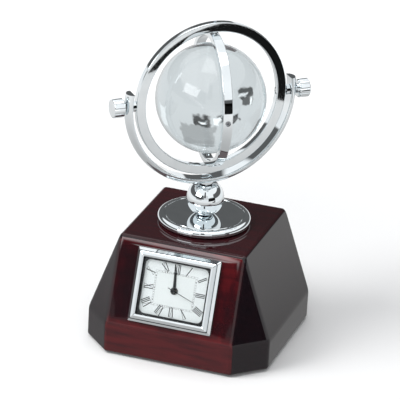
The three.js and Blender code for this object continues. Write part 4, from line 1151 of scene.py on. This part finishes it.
def floor():
    """White with soft shadows.

    In chrome it is a fixed glow that darkens towards the clock, a painted shadow, and crystal sees
    the backdrop instead.
    """
    bm = bmesh.new()
    bm.faces.new([bm.verts.new((x, y, 0)) for x, y in TABLE])
    surface = Surface("floor")
    colour = surface.tones(surface.noise(*TABLE_MOTTLE), *TABLE_TONES)
    surface.set(Base_Color=colour, Roughness=0.9, Specular_IOR_Level=0.0)
    away = surface.node("ShaderNodeVectorMath", operation="LENGTH")
    surface.feed(surface.coordinates(), away.inputs[0])
    distance = away.outputs["Value"]
    glow = surface.span(distance, *TABLE_GLOW_FROM, 0, TABLE_GLOW)
    surface.set(Emission_Color=(1, 1, 1, 1), Emission_Strength=glow)
    # Painted shadow: chrome sees the table as a glow that darkens towards the clock
    shades = [(at, (bright, bright, bright)) for at, bright in TABLE_MIRRORED]
    mirrored = surface.node("ShaderNodeEmission")
    surface.feed(surface.ramp(distance, shades), mirrored.inputs["Color"])
    glossy = surface.node("ShaderNodeLightPath").outputs["Is Glossy Ray"]
    surface.blend(glossy, surface.shader.outputs["BSDF"], mirrored.outputs["Emission"])
    obj = make_object("floor", bm, surface.material)
    obj.visible_transmission = False


def soft_step(nodes, value, at, before, after):
    """Goes from one brightness to another where a value passes a place."""
    return nodes.span(value, at - SOFT_EDGE, at + SOFT_EDGE, before, after)


def sky_box(nodes, direction, azimuth, elevation, half_width, half_height, strength):
    """A soft-edged rectangle on the sky: its strength inside, nothing outside."""
    turn = math.radians(azimuth)
    rise = math.radians(elevation)
    level = math.cos(rise)
    middle = Vector((math.cos(turn) * level, math.sin(turn) * level, math.sin(rise)))
    sideways = Vector((-math.sin(turn), math.cos(turn), 0))
    upwards = middle.cross(sideways)
    inside = nodes.span(nodes.dot(direction, middle), 0, SOFT_EDGE, 0, strength)
    for axis, half in ((sideways, half_width), (upwards, half_height)):
        off = nodes.calc("ABSOLUTE", nodes.dot(direction, axis))
        inside = nodes.calc("MULTIPLY", inside, soft_step(nodes, off, half, 1, 0))
    return inside


def beside_card(nodes, turn, height, azimuth, half_width, lowest, highest, left):
    """The share of light left: little where a dark card stands, all elsewhere."""
    off = nodes.calc("ABSOLUTE", nodes.calc("SUBTRACT", turn, math.radians(azimuth)))
    beside = soft_step(nodes, off, math.radians(half_width), left, 1)
    below = soft_step(nodes, height, lowest, 1, left)
    above = soft_step(nodes, height, highest, left, 1)
    return nodes.calc("MAXIMUM", beside, nodes.calc("MAXIMUM", below, above))


def mirrored_studio(nodes, direction):
    """What chrome and lacquer reflect: table, ceiling, dim room, softboxes and dark cards."""
    axes = nodes.split(direction)
    turn = nodes.calc("ARCTAN2", axes["Y"], axes["X"])
    room_low, room_high = ROOM_GAP
    table = soft_step(nodes, axes["Z"], room_low, TABLE_MIRRORED[-1][1], ROOM_DIM)
    ceiling = soft_step(nodes, axes["Z"], room_high, 0, CEILING)
    bright = nodes.calc("MAXIMUM", table, ceiling)
    for box in MIRRORED_BOXES:
        bright = nodes.calc("MAXIMUM", bright, sky_box(nodes, direction, *box))
    for card in DARK_CARDS:
        bright = nodes.calc("MULTIPLY", bright, beside_card(nodes, turn, axes["Z"], *card))
    return bright


def wavering(nodes, direction):
    """The direction, bent a little to and fro."""
    wave = nodes.node("ShaderNodeTexNoise", Scale=BACKDROP_WAVE_SCALE, Detail=BACKDROP_WAVE_DETAIL)
    nodes.feed(direction, wave.inputs["Vector"])
    sway = nodes.node("ShaderNodeVectorMath", operation="SUBTRACT")
    nodes.feed(wave.outputs["Color"], sway.inputs[0])
    sway.inputs[1].default_value = (0.5, 0.5, 0.5)  # a noise's middle
    bent = nodes.node("ShaderNodeVectorMath", operation="MULTIPLY_ADD")
    nodes.feed(sway.outputs["Vector"], bent.inputs[0])
    bent.inputs[1].default_value = (BACKDROP_WAVE, BACKDROP_WAVE, BACKDROP_WAVE)
    nodes.feed(direction, bent.inputs[2])
    return bent.outputs["Vector"]


def backdrop(nodes, direction):
    """What shows through crystal: a bright backdrop with stands and lamps, dim beside it."""
    facing = nodes.calc("ABSOLUTE", nodes.dot(direction, BACKDROP))
    bright = nodes.span(facing, *BACKDROP_EDGE, BACKDROP_SIDE, BACKDROP_BRIGHT)
    bent = wavering(nodes, direction)
    for stand in BACKDROP_STANDS:
        light = nodes.calc("SUBTRACT", 1, sky_box(nodes, bent, *stand))
        bright = nodes.calc("MULTIPLY", bright, light)
    for lamp in BACKDROP_LAMPS:
        bright = nodes.calc("MAXIMUM", bright, sky_box(nodes, bent, *lamp))
    return bright


def world():
    """White for the camera, the backdrop in crystal and the studio in chrome.

    Everything else gets an even fill.
    """
    studio = bpy.data.worlds.new("studio")
    bpy.context.scene.world = studio
    studio.use_nodes = True
    nodes = Nodes(studio.node_tree)
    nodes.tree.nodes.clear()
    path = nodes.node("ShaderNodeLightPath").outputs
    direction = nodes.coordinates("Generated")
    mirrored = mirrored_studio(nodes, direction)

    def choose(share, first, second):
        """The first value where share is 1, the second where it is 0."""
        made = nodes.node("ShaderNodeMix")
        nodes.feed(share, made.inputs["Factor"])
        nodes.feed(first, made.inputs["B"])
        nodes.feed(second, made.inputs["A"])
        return made.outputs["Result"]

    strength = choose(path["Is Glossy Ray"], mirrored, ROOM_FILL)
    strength = choose(path["Is Transmission Ray"], backdrop(nodes, direction), strength)
    strength = choose(path["Is Camera Ray"], CAMERA_WHITE, strength)
    background = nodes.node("ShaderNodeBackground", Color=STUDIO_TINT)
    nodes.feed(strength, background.inputs["Strength"])
    output = nodes.node("ShaderNodeOutputWorld")
    nodes.feed(background.outputs["Background"], output.inputs["Surface"])


def softbox(name, place, aim, size, power):
    lamp = bpy.data.lights.new(name, "AREA")
    lamp.size = size
    lamp.energy = power
    obj = bpy.data.objects.new(name, lamp)
    obj.location = place
    obj.rotation_euler = (Vector(aim) - Vector(place)).to_track_quat("-Z", "Y").to_euler()
    obj.visible_glossy = False
    obj.visible_transmission = False
    bpy.context.scene.collection.objects.link(obj)


def camera():
    azimuth = math.radians(CAMERA_AZIMUTH)
    elevation = math.radians(CAMERA_ELEVATION)
    roll = math.radians(CAMERA_ROLL)
    level = math.cos(elevation)
    back = Vector((math.sin(azimuth) * level, -math.cos(azimuth) * level, math.sin(elevation)))
    across = Vector((0, 0, 1)).cross(back).normalized()
    up = back.cross(across)
    right = math.cos(roll) * across + math.sin(roll) * up
    upright = -math.sin(roll) * across + math.cos(roll) * up
    data = bpy.data.cameras.new("camera")
    data.sensor_width = SENSOR_WIDTH
    data.sensor_fit = "HORIZONTAL"
    data.lens = FOCAL_PIXELS * SENSOR_WIDTH / IMAGE_SIZE
    data.clip_end = CAMERA_REACH
    obj = bpy.data.objects.new("camera", data)
    place = vector(CAMERA_TARGET) + back * CAMERA_DISTANCE * MM
    turn = Matrix((right, upright, back)).transposed().to_4x4()
    obj.matrix_world = Matrix.Translation(place) @ turn
    bpy.context.scene.collection.objects.link(obj)
    bpy.context.scene.camera = obj


floor()
world()
for lamp_name, settings in LAMPS.items():
    softbox(lamp_name, *settings)
camera()
bpy.context.scene.view_settings.view_transform = "Standard"
